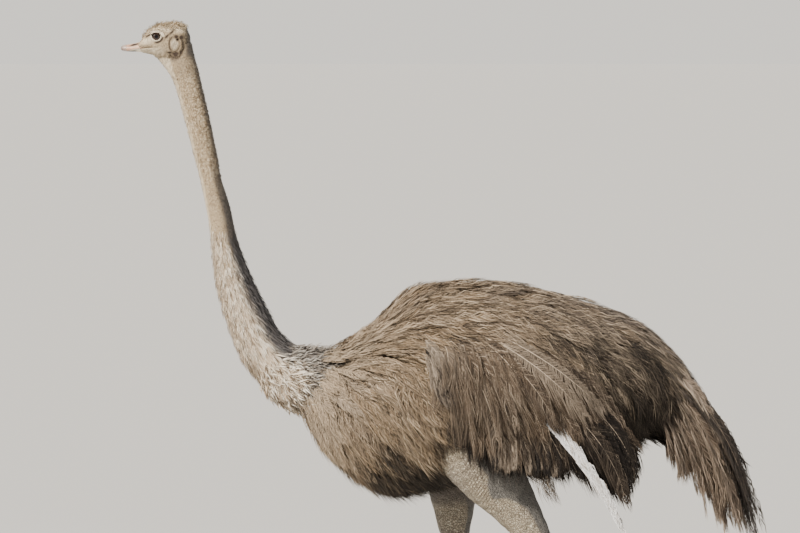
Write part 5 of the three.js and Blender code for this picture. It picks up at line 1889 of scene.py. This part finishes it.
def wing_tier(tier, side, random):
    count = tier["count"]
    share = np.clip((np.arange(count) + random.uniform(-0.3, 0.3, count)) / max(count - 1, 1), 0, 1)
    root = line_at(tier["roots"], share) + random.normal(0, 5, (count, 2))
    tip = line_at(tier["tips"], share) + random.normal(0, tier.get("stray", WING_STRAY), (count, 2))
    middle = (root + tip) / 2 + np.array([tier["bow"], tier["bow"] / 2])
    # The curve passes the middle at half way.
    path = curve(root, 2 * middle - (root + tip) / 2, tip)
    low, high = tier["lift"]
    rise = low + (high - low) * np.sin(np.linspace(0, 1, SPINE_STEPS) * np.pi / 2)
    lift = rise + random.uniform(-3, 5, count)[:, None]
    y = flank(path[..., 0], path[..., 1]) + lift
    spines = np.stack([path[..., 0], side * y, path[..., 1]], axis=-1)
    outward = np.broadcast_to(np.array([0.0, side, 0.12]), spines.shape)
    station = np.interp(root[:, 0], TORSO_MIDDLE[:, 0], TORSO_STATIONS)
    here = section_at(TRUNK, station)
    angle = side * np.arccos(np.clip((root[:, 1] - here[:, 2]) / here[:, 3], -1, 1))
    grey, dark, white = tier["tint"]
    rear = smooth_step(0.55, 1, share)
    tone = np.clip(0.5 + random.normal(0, 0.2, count), 0, 1)
    stray = random.normal(0, 0.08, count)
    pale = np.maximum(white, 0.14 * smooth_step(0.2, 0, share) * (dark < 0.5))
    # A tier's darkness: its own, more to the rear, plus painted shade where given.
    shaded = dark + 0.3 * rear + tier.get("shade", 0) * bell(share - 0.66, 0.22) + stray
    streak = np.random.default_rng(count).uniform(0, 1, count) < tier.get("streaks", 0)
    shaded = np.where(streak, 0.25, shaded)
    pale = np.where(streak, 0.24, pale)
    tint = np.stack([grey + 0.3 * rear + stray, shaded, tone, pale], axis=-1)
    half_width = tier["half_width"] * random.uniform(0.85, 1.15, count)
    tint = np.clip(tint, 0, 1)
    look = tier.get("look", WING_PLUME)
    return plumes(spines, outward, half_width, look, tint, root_place(station, angle), random)


wing_finish = plume_finish(
    "wing_plumes",
    warm=(0.128, 0.088, 0.056, 1),
    grey=(0.075, 0.058, 0.048, 1),
    dark=(0.009, 0.007, 0.006, 1),
    pale=(0.36, 0.29, 0.22, 1),
    quill=(0.60, 0.49, 0.37, 1),
    fringe=0.12,
)
for name, side in (("left", -1), ("right", 1)):
    bunches = []
    for tier in WING_TIERS.values():
        own = np.random.default_rng(tier["seed"]) if "seed" in tier else random
        bunches.append(wing_tier(tier, side, own))
    plumage(f"plumes_wing_{name}", bunches, wing_finish, [f"wing_{name}"])

# ---- Tail ----------------------------------------------------------------------------------------
# The tail hangs in tiers from its fleshy root, which the hide covers. Its plumes are long, soft and
# worn, with pale ragged edges.

# How many plumes, [x, z] of root, swing and tip, half spread at root and tip, half width, how dark.
# The darkness of the tiers that hang furthest back is painted shade of the far plumes.
TAIL_TIERS = [
    (11, [560, 1045], [716, 1030], [790, 810], [46, 84], 30, 0.35),
    # The two darkest tiers form the tail's rear edge in painted shade.
    (13, [600, 1010], [770, 960], [852, 690], [50, 96], 34, 0.7),
    (13, [640, 985], [800, 925], [884, 574], [52, 104], 34, 0.9),
    (13, [630, 975], [772, 890], [812, 660], [52, 96], 36, 0.12),
    (13, [650, 950], [786, 850], [846, 590], [46, 90], 34, 0.12),
    (12, [640, 945], [744, 856], [800, 604], [46, 80], 34, 0.1),
    (12, [618, 945], [712, 862], [754, 668], [46, 70], 34, 0.1),
    (12, [606, 935], [682, 862], [706, 738], [44, 62], 32, 0.15),
    (10, [590, 925], [650, 872], [662, 786], [42, 54], 30, 0.2),
]
TAIL_FAN = {"forward": 26, "upward": 30, "facing": (0.8, 0.9, 0.6)}
TAIL_PLUME = {
    "barbs": 84,
    "blade": 1.3,
    "bare": 0.04,
    "open": (38, 11),
    "fluff": 6.0,
    "sag": 6.0,
    "quill": 0.9,
    "contrast": 0.65,
}


def tail_tier(tier, number, random):
    count, root_at, swing_at, tip_at, (root_half, tip_half), half_width, darkness = tier
    share = (np.arange(count) + random.uniform(-0.25, 0.25, count)) / (count - 1)
    turn = np.clip(2 * share - 1, -1, 1)
    ends = []
    for (x, z), half in ((root_at, root_half), (swing_at, (root_half + tip_half) / 2), (tip_at, tip_half)):
        ends.append(np.stack([np.full(count, float(x)), half * turn, np.full(count, float(z))], axis=-1))
    root, swing, tip = ends
    tip[:, 0] -= TAIL_FAN["forward"] * turn**2 + random.normal(0, 10, count)
    tip[:, 2] += TAIL_FAN["upward"] * turn**2 + random.normal(0, 16, count)
    spines = curve(root, swing, tip)
    back, aside, up = TAIL_FAN["facing"]
    facing = unit(np.stack([np.full(count, back), turn * aside, np.full(count, up)], axis=-1))
    outward = np.broadcast_to(facing[:, None], spines.shape)
    tone = np.clip(0.5 + random.normal(0, 0.22, count), 0, 1)
    stray = random.normal(0, 0.1, count)
    tint = np.clip(np.stack([0.55 + stray, darkness + stray, tone, 0 * tone], axis=-1), 0, 1)
    half_width = half_width * random.uniform(0.85, 1.15, count)
    roots = root_place(19.6 + 0.2 * number + 0 * turn, turn * 1.2)
    return plumes(spines, outward, half_width, TAIL_PLUME, tint, roots, random)


tail_finish = plume_finish(
    "tail_plumes",
    warm=(0.30, 0.215, 0.145, 1),
    grey=(0.225, 0.175, 0.14, 1),
    dark=(0.020, 0.016, 0.014, 1),
    pale=(0.46, 0.38, 0.30, 1),
    quill=(0.35, 0.27, 0.20, 1),
    fringe=0.45,
)
bunches = [tail_tier(tier, number, random) for number, tier in enumerate(TAIL_TIERS)]
plumage("plumes_tail", bunches, tail_finish, ["tail"])

# ---- Down and bristles ---------------------------------------------------------------------------
# Her head and upper neck bear short hair-like bristles, and ragged cream down thickens below the
# middle of the neck until it meets the plumes. All of it sprouts from the hide and lies down the neck.

# How many blades a tuft has, how far they fan, how wide each is, and how ragged, as shares of length.
BLADES = {
    "bristle": {"count": 3, "fan": 0.60, "wide": 0.060, "stray": 0.25},
    "halo": {"count": 3, "fan": 0.80, "wide": 0.050, "stray": 0.50},
    "down": {"count": 5, "fan": 0.46, "wide": 0.070, "stray": 0.40},
    "wool": {"count": 6, "fan": 0.75, "wide": 0.050, "stray": 0.5},
}
DOWN_COLOURS = {
    "cream": (0.62, 0.52, 0.40, 1),
    "pale": (0.80, 0.74, 0.64, 1),
    "fawn": (0.42, 0.325, 0.23, 1),
    "dark": (0.052, 0.050, 0.054, 1),
    "brown": (0.085, 0.06, 0.042, 1),
}
# Neck and body shell overlap: nothing grows on the body's before its station here, or past the neck's.
SHELL_ENDS = {"body": 7.8, "neck": 7.93}
# Tuft, cover, slot, tufts per square metre, (length, width, rise) in metres, stray and seed.
COATS = {
    "bristles": ("bristle", "bristles", "neck_skin", 105000.0, (0.0085, 0.0070, 0.0034), 0.5, 3),
    "head_halo": ("halo", "halo", "neck_skin", 170000.0, (0.0080, 0.0080, 0.0085), 0.8, 4),
    "neck_down": ("down", "down", "neck_down", 52000.0, (0.036, 0.013, 0.009), 0.28, 8),
    "neck_wool": ("wool", "wool", "neck_down", 30000.0, (0.040, 0.026, 0.014), 0.7, 9),
}
COAT_NODES = {
    "bristles": ["head", "neck_upper", "neck_middle"],
    "head_halo": ["head"],
    "neck_down": ["neck_lower", "neck_base"],
    "neck_wool": ["neck_base", "torso"],
}
# How large the tufts grow, by their height above the floor.
TUFT_GROWTH = {
    "height": [1000, 1150, 1300, 1370, 1440, 1600, 1850, 1900],
    "size": [1.1, 1.0, 0.85, 0.65, 0.4, 0.85, 0.7, 0.42],
}
BRISTLE_COLOURS = {
    "cream": (0.48, 0.36, 0.22, 1),
    "pale": (0.70, 0.60, 0.44, 1),
    "fawn": (0.27, 0.18, 0.105, 1),
    "dark": (0.042, 0.040, 0.042, 1),
    "brown": (0.06, 0.042, 0.03, 1),
}


def tuft_shape(name, seed):
    """A tuft along Z that rises along X: narrow blades, each bent once, from one root."""
    rule = BLADES[name]
    random = np.random.default_rng(seed)
    points, quads, fans, patch, shade = [], [], [], [], []
    for number in range(rule["count"]):
        side = (number + 0.5) / rule["count"] * 2 - 1
        turn = side * rule["fan"] + random.uniform(-0.5, 0.5) * rule["fan"]
        long = 1 - rule["stray"] * random.uniform(0, 1)
        bend = random.uniform(0.2, 0.9)
        wide = rule["wide"] * random.uniform(0.7, 1.2)
        twist = random.uniform(-0.9, 0.9)
        ahead = np.array([0, math.sin(turn), math.cos(turn)])
        flat = math.cos(twist)
        beside = np.array([math.sin(twist), math.cos(turn) * flat, -math.sin(turn) * flat])
        root = np.array([0, side * 0.05, 0])
        middle = root + ahead * long * 0.55 + np.array([bend * 0.8, 0, 0])
        tip = root + ahead * long + np.array([bend, 0, 0])
        first = len(points)
        points += [root - beside * wide * 0.7, root + beside * wide * 0.7]
        points += [middle - beside * wide, middle + beside * wide, tip]
        patch += [(side / 2, along, 0) for along in (-0.5, -0.5, 0, 0, 0.5)]
        shade += [random.uniform(0, 1)] * 5
        quads.append([first, first + 1, first + 3, first + 2])
        fans.append([first + 2, first + 3, first + 4])
    mesh = mesh_of(name, np.array(points), np.array(quads)[:, ::-1], np.array(fans)[:, ::-1])
    store(mesh, "patch", "FLOAT_VECTOR", patch)
    store(mesh, "along", "FLOAT", np.array(patch)[:, 1] + 0.5)
    store(mesh, "shade", "FLOAT", shade)
    tuft = bpy.data.objects.new(name, mesh)
    bpy.context.scene.collection.objects.link(tuft)
    return tuft


def sprouting_tree():
    """Scatters a tuft over a skin by a cover attribute, leaned the way the skin's lie says."""
    inputs = {"Skin": "Geometry", "Shape": "Object", "Finish": "Material", "Cover": "String", "Seed": "Int"}
    inputs.update(dict.fromkeys(("Density", "Length", "Width", "Rise", "Stray"), "Float"))
    tree, given, result, sockets = new_tree("sprouting", "GeometryNodeTree", inputs, {"Geometry": "Geometry"})
    number = {"data_type": "FLOAT"}
    vector = {"data_type": "FLOAT_VECTOR"}

    def named(settings, name):
        return node(tree, "GeometryNodeInputNamedAttribute", settings, Name=name).outputs["Attribute"]

    def strayed(low, high, offset):
        seed = reckon(tree, "ADD", given["Seed"], offset)
        made = node(tree, "FunctionNodeRandomValue", number, Min=low, Max=high, Seed=seed)
        return made.outputs[1]

    thick = times(tree, named(number, given["Cover"]), given["Density"])
    scatter = {"Mesh": given["Skin"], "Density": thick, "Seed": given["Seed"]}
    points = node(tree, "GeometryNodeDistributePointsOnFaces", **scatter)
    axes = {"primary_axis": "X", "secondary_axis": "Z"}
    facing = {"Primary_Axis": points.outputs["Normal"], "Secondary_Axis": named(vector, "lie")}
    turned = node(tree, "FunctionNodeAxesToRotation", axes, **facing)
    angle = times(tree, strayed(-1.0, 1.0, 1), given["Stray"])
    spin = node(tree, "FunctionNodeAxisAngleToRotation", Axis=(1, 0, 0), Angle=angle)
    leaned = node(tree, "FunctionNodeRotateRotation", {"rotation_space": "LOCAL"})
    tree.links.new(turned.outputs[0], leaned.inputs["Rotation"])
    tree.links.new(spin.outputs[0], leaned.inputs["Rotate By"])
    growth = times(tree, named(number, "growth"), strayed(0.55, 1.35, 2))
    rise = times(tree, times(tree, given["Rise"], strayed(0.3, 1.5, 3)), growth)
    rise = times(tree, rise, named(number, "stand"))
    width, length = times(tree, given["Width"], growth), times(tree, given["Length"], growth)
    size = node(tree, "ShaderNodeCombineXYZ", X=rise, Y=width, Z=length)
    per_point = {"data_type": "FLOAT", "domain": "POINT"}
    toned = node(tree, "GeometryNodeStoreNamedAttribute", per_point, Name="tone")
    tree.links.new(points.outputs["Points"], toned.inputs["Geometry"])
    tree.links.new(strayed(0.0, 1.0, 4), toned.inputs["Value"])
    solid = shapes_on(tree, given, toned.outputs["Geometry"], leaned.outputs[0], size.outputs[0])
    patch = node(tree, "ShaderNodeVectorMath", {"operation": "SCALE"}, Scale=0.003)
    tree.links.new(named(vector, "patch"), patch.inputs[0])
    unwrap = node(tree, "ShaderNodeVectorMath", {"operation": "ADD"})
    tree.links.new(named(vector, "unwrap"), unwrap.inputs[0])
    tree.links.new(patch.outputs[0], unwrap.inputs[1])
    mapping = {"data_type": "FLOAT2", "domain": "CORNER"}
    mapped = node(tree, "GeometryNodeStoreNamedAttribute", mapping, Geometry=solid, Name="OFBake")
    tree.links.new(unwrap.outputs[0], mapped.inputs["Value"])
    done = node(tree, "GeometryNodeSetMaterial", Geometry=mapped.outputs[0], Material=given["Finish"])
    tree.links.new(done.outputs["Geometry"], result["Geometry"])
    return tree, sockets


def hide_growth(points, station):
    """For each point of the hide: cover of bristles, down, wool and halo, length, stand and lie."""
    x, y, z = points.T
    _, back = neck_place(points)
    middle = section_at(TRUNK, station + 0.05)[:, :3] - section_at(TRUNK, station - 0.05)[:, :3]
    on_head = smooth_step(1885, 1910, z)[:, None]
    lie = unit(middle) * (1 - on_head) + np.array([0.85, 0, -0.25]) * on_head
    eye = eye_share(points) - 0.3 * (z > EYE_OPENING["z"])
    face = np.minimum(smooth_step(1.25, 1.6, eye), 0.5 + 0.5 * smooth_step(0.9, 1.2, ear_share(points)))
    face = np.where(np.abs(y) < 12, 1, face)
    off_bill = smooth_step(-838, -826, x)
    furrowed = np.where(z > 1890, markings(points)[:, 1], 0)
    bristle = smooth_step(1200, 1330, z) * face * off_bill * (1 - 0.9 * np.clip(1.3 * furrowed, 0, 1))
    bristle = bristle * (0.55 + 0.45 * smooth_step(-0.5, 0.8, back))
    down = smooth_step(1440, 1340, z) * smooth_step(11.9, 11.3, station)
    upward = unit(np.cross(unit(middle), ACROSS))
    rise = ((points - section_at(TRUNK, station)[:, :3]) * upward).sum(axis=1)
    angle = np.arctan2(y, rise)
    gaps = smooth_step(-0.45, -0.05, clumping(2.6 * station, 2.6 * angle, 0.9))
    wool = smooth_step(10.3, 11.2, station) * smooth_step(12.85, 12.3, station) * (0.1 + 0.9 * gaps)
    wool = wool * np.maximum(smooth_step(0.6, 1.2, np.abs(angle)), smooth_step(11.6, 11.0, station))
    growth = np.interp(z, TUFT_GROWTH["height"], TUFT_GROWTH["size"])
    ridge = smooth_step(17, 7, np.abs(y)) * smooth_step(-770, -795, x) * smooth_step(1932, 1944, z)
    crown = smooth_step(1964, 1982, z) * smooth_step(-704, -716, x)
    halo = np.maximum(crown, 0.8 * ridge) * off_bill
    growth = growth + 0.5 * halo
    stand = 1 + 0.5 * bell(station - 11.4, 0.5) - 0.4 * smooth_step(11.9, 12.4, station)
    return bristle, down, wool, halo, growth, stand, lie


station, _ = neck_place(hide_points)
station = np.where(hide_stations > 0, hide_stations, station)
bristle, down, wool, halo, growth, stand, lie = hide_growth(hide_points, station)
inside = np.where(hide_stations > 0, hide_stations < SHELL_ENDS["body"], station > SHELL_ENDS["neck"])
bristle[inside] = 0
down[inside] = 0
around = np.arctan2(hide_points[:, 1], -(hide_points[:, 0] - section_at(TRUNK, station)[:, 0]))
unwrap = np.zeros((len(hide_points), 3))
unwrap[:, :2] = root_place(station - 1.2 * smooth_step(1900, 1990, hide_points[:, 2]), around)
growing = {"bristles": bristle, "down": down, "wool": wool, "halo": halo, "growth": growth, "stand": stand}
growing.update({"lie": lie, "unwrap": unwrap})
for name, content in growing.items():
    store(hide.data, name, "FLOAT" if content.ndim == 1 else "FLOAT_VECTOR", content)


def tuft_finish(name, colours, browned):
    """Hair or down whose colour differs from tuft to tuft and from blade to blade."""
    material, tree, surface = finish(name, 0.8, 0.2)
    where = object_place(tree)
    dark, brown, pale, _ = channels(tree, "markings")
    of_tuft, of_blade = times(tree, value_of(tree, "tone"), 0.45), times(tree, value_of(tree, "shade"), 0.55)
    tone = reckon(tree, "ADD", of_tuft, of_blade)
    cloud = ramped(tree, noise(tree, where, 22.0, 3.0), 0.1, 0.5)
    light = times(tree, ramped(tree, tone, 0.42, 0.8), cloud)
    light = reckon(tree, "MAXIMUM", light, times(tree, pale, 0.8))
    colour = coated(
        tree,
        colours["fawn"],
        (ramped(tree, tone, 0.25, 0.6), 1.0, colours["cream"]),
        (light, 1.0, colours["pale"]),
        (ramped(tree, value_of(tree, "along"), 0.4, 0.0), 0.3, colours["brown"]),
        (ramped(tree, tone, browned, browned - 0.1), 0.85, colours["brown"]),
        (brown, 0.8, colours["brown"]),
        (dark, ramped(tree, tone, 1.05, 0.75), colours["dark"]),
    )
    dressed(tree, surface, colour, noise(tree, where, 500.0), 0.0003)
    return material


bristle_finish = tuft_finish("bristles", BRISTLE_COLOURS, 0.4)
down_finish = tuft_finish("down", DOWN_COLOURS, 0.29)
sprouting, sprouting_sockets = sprouting_tree()
for name, (shape, cover, slot, density, (length, width, rise), stray, seed) in COATS.items():
    tuft = tuft_shape(shape, seed)
    values = {
        "Shape": tuft,
        "Cover": cover,
        "Density": density,
        "Length": length,
        "Width": width,
        "Rise": rise,
        "Stray": stray,
        "Seed": seed,
        "Finish": bristle_finish if slot == "neck_skin" else down_finish,
    }
    coat = grown(name, sprouting, sprouting_sockets, hide.data.copy(), values)
    bpy.data.objects.remove(tuft)
    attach(coat, "root")
    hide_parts(*COAT_NODES[name])
for name in growing:
    hide.data.attributes.remove(hide.data.attributes[name])
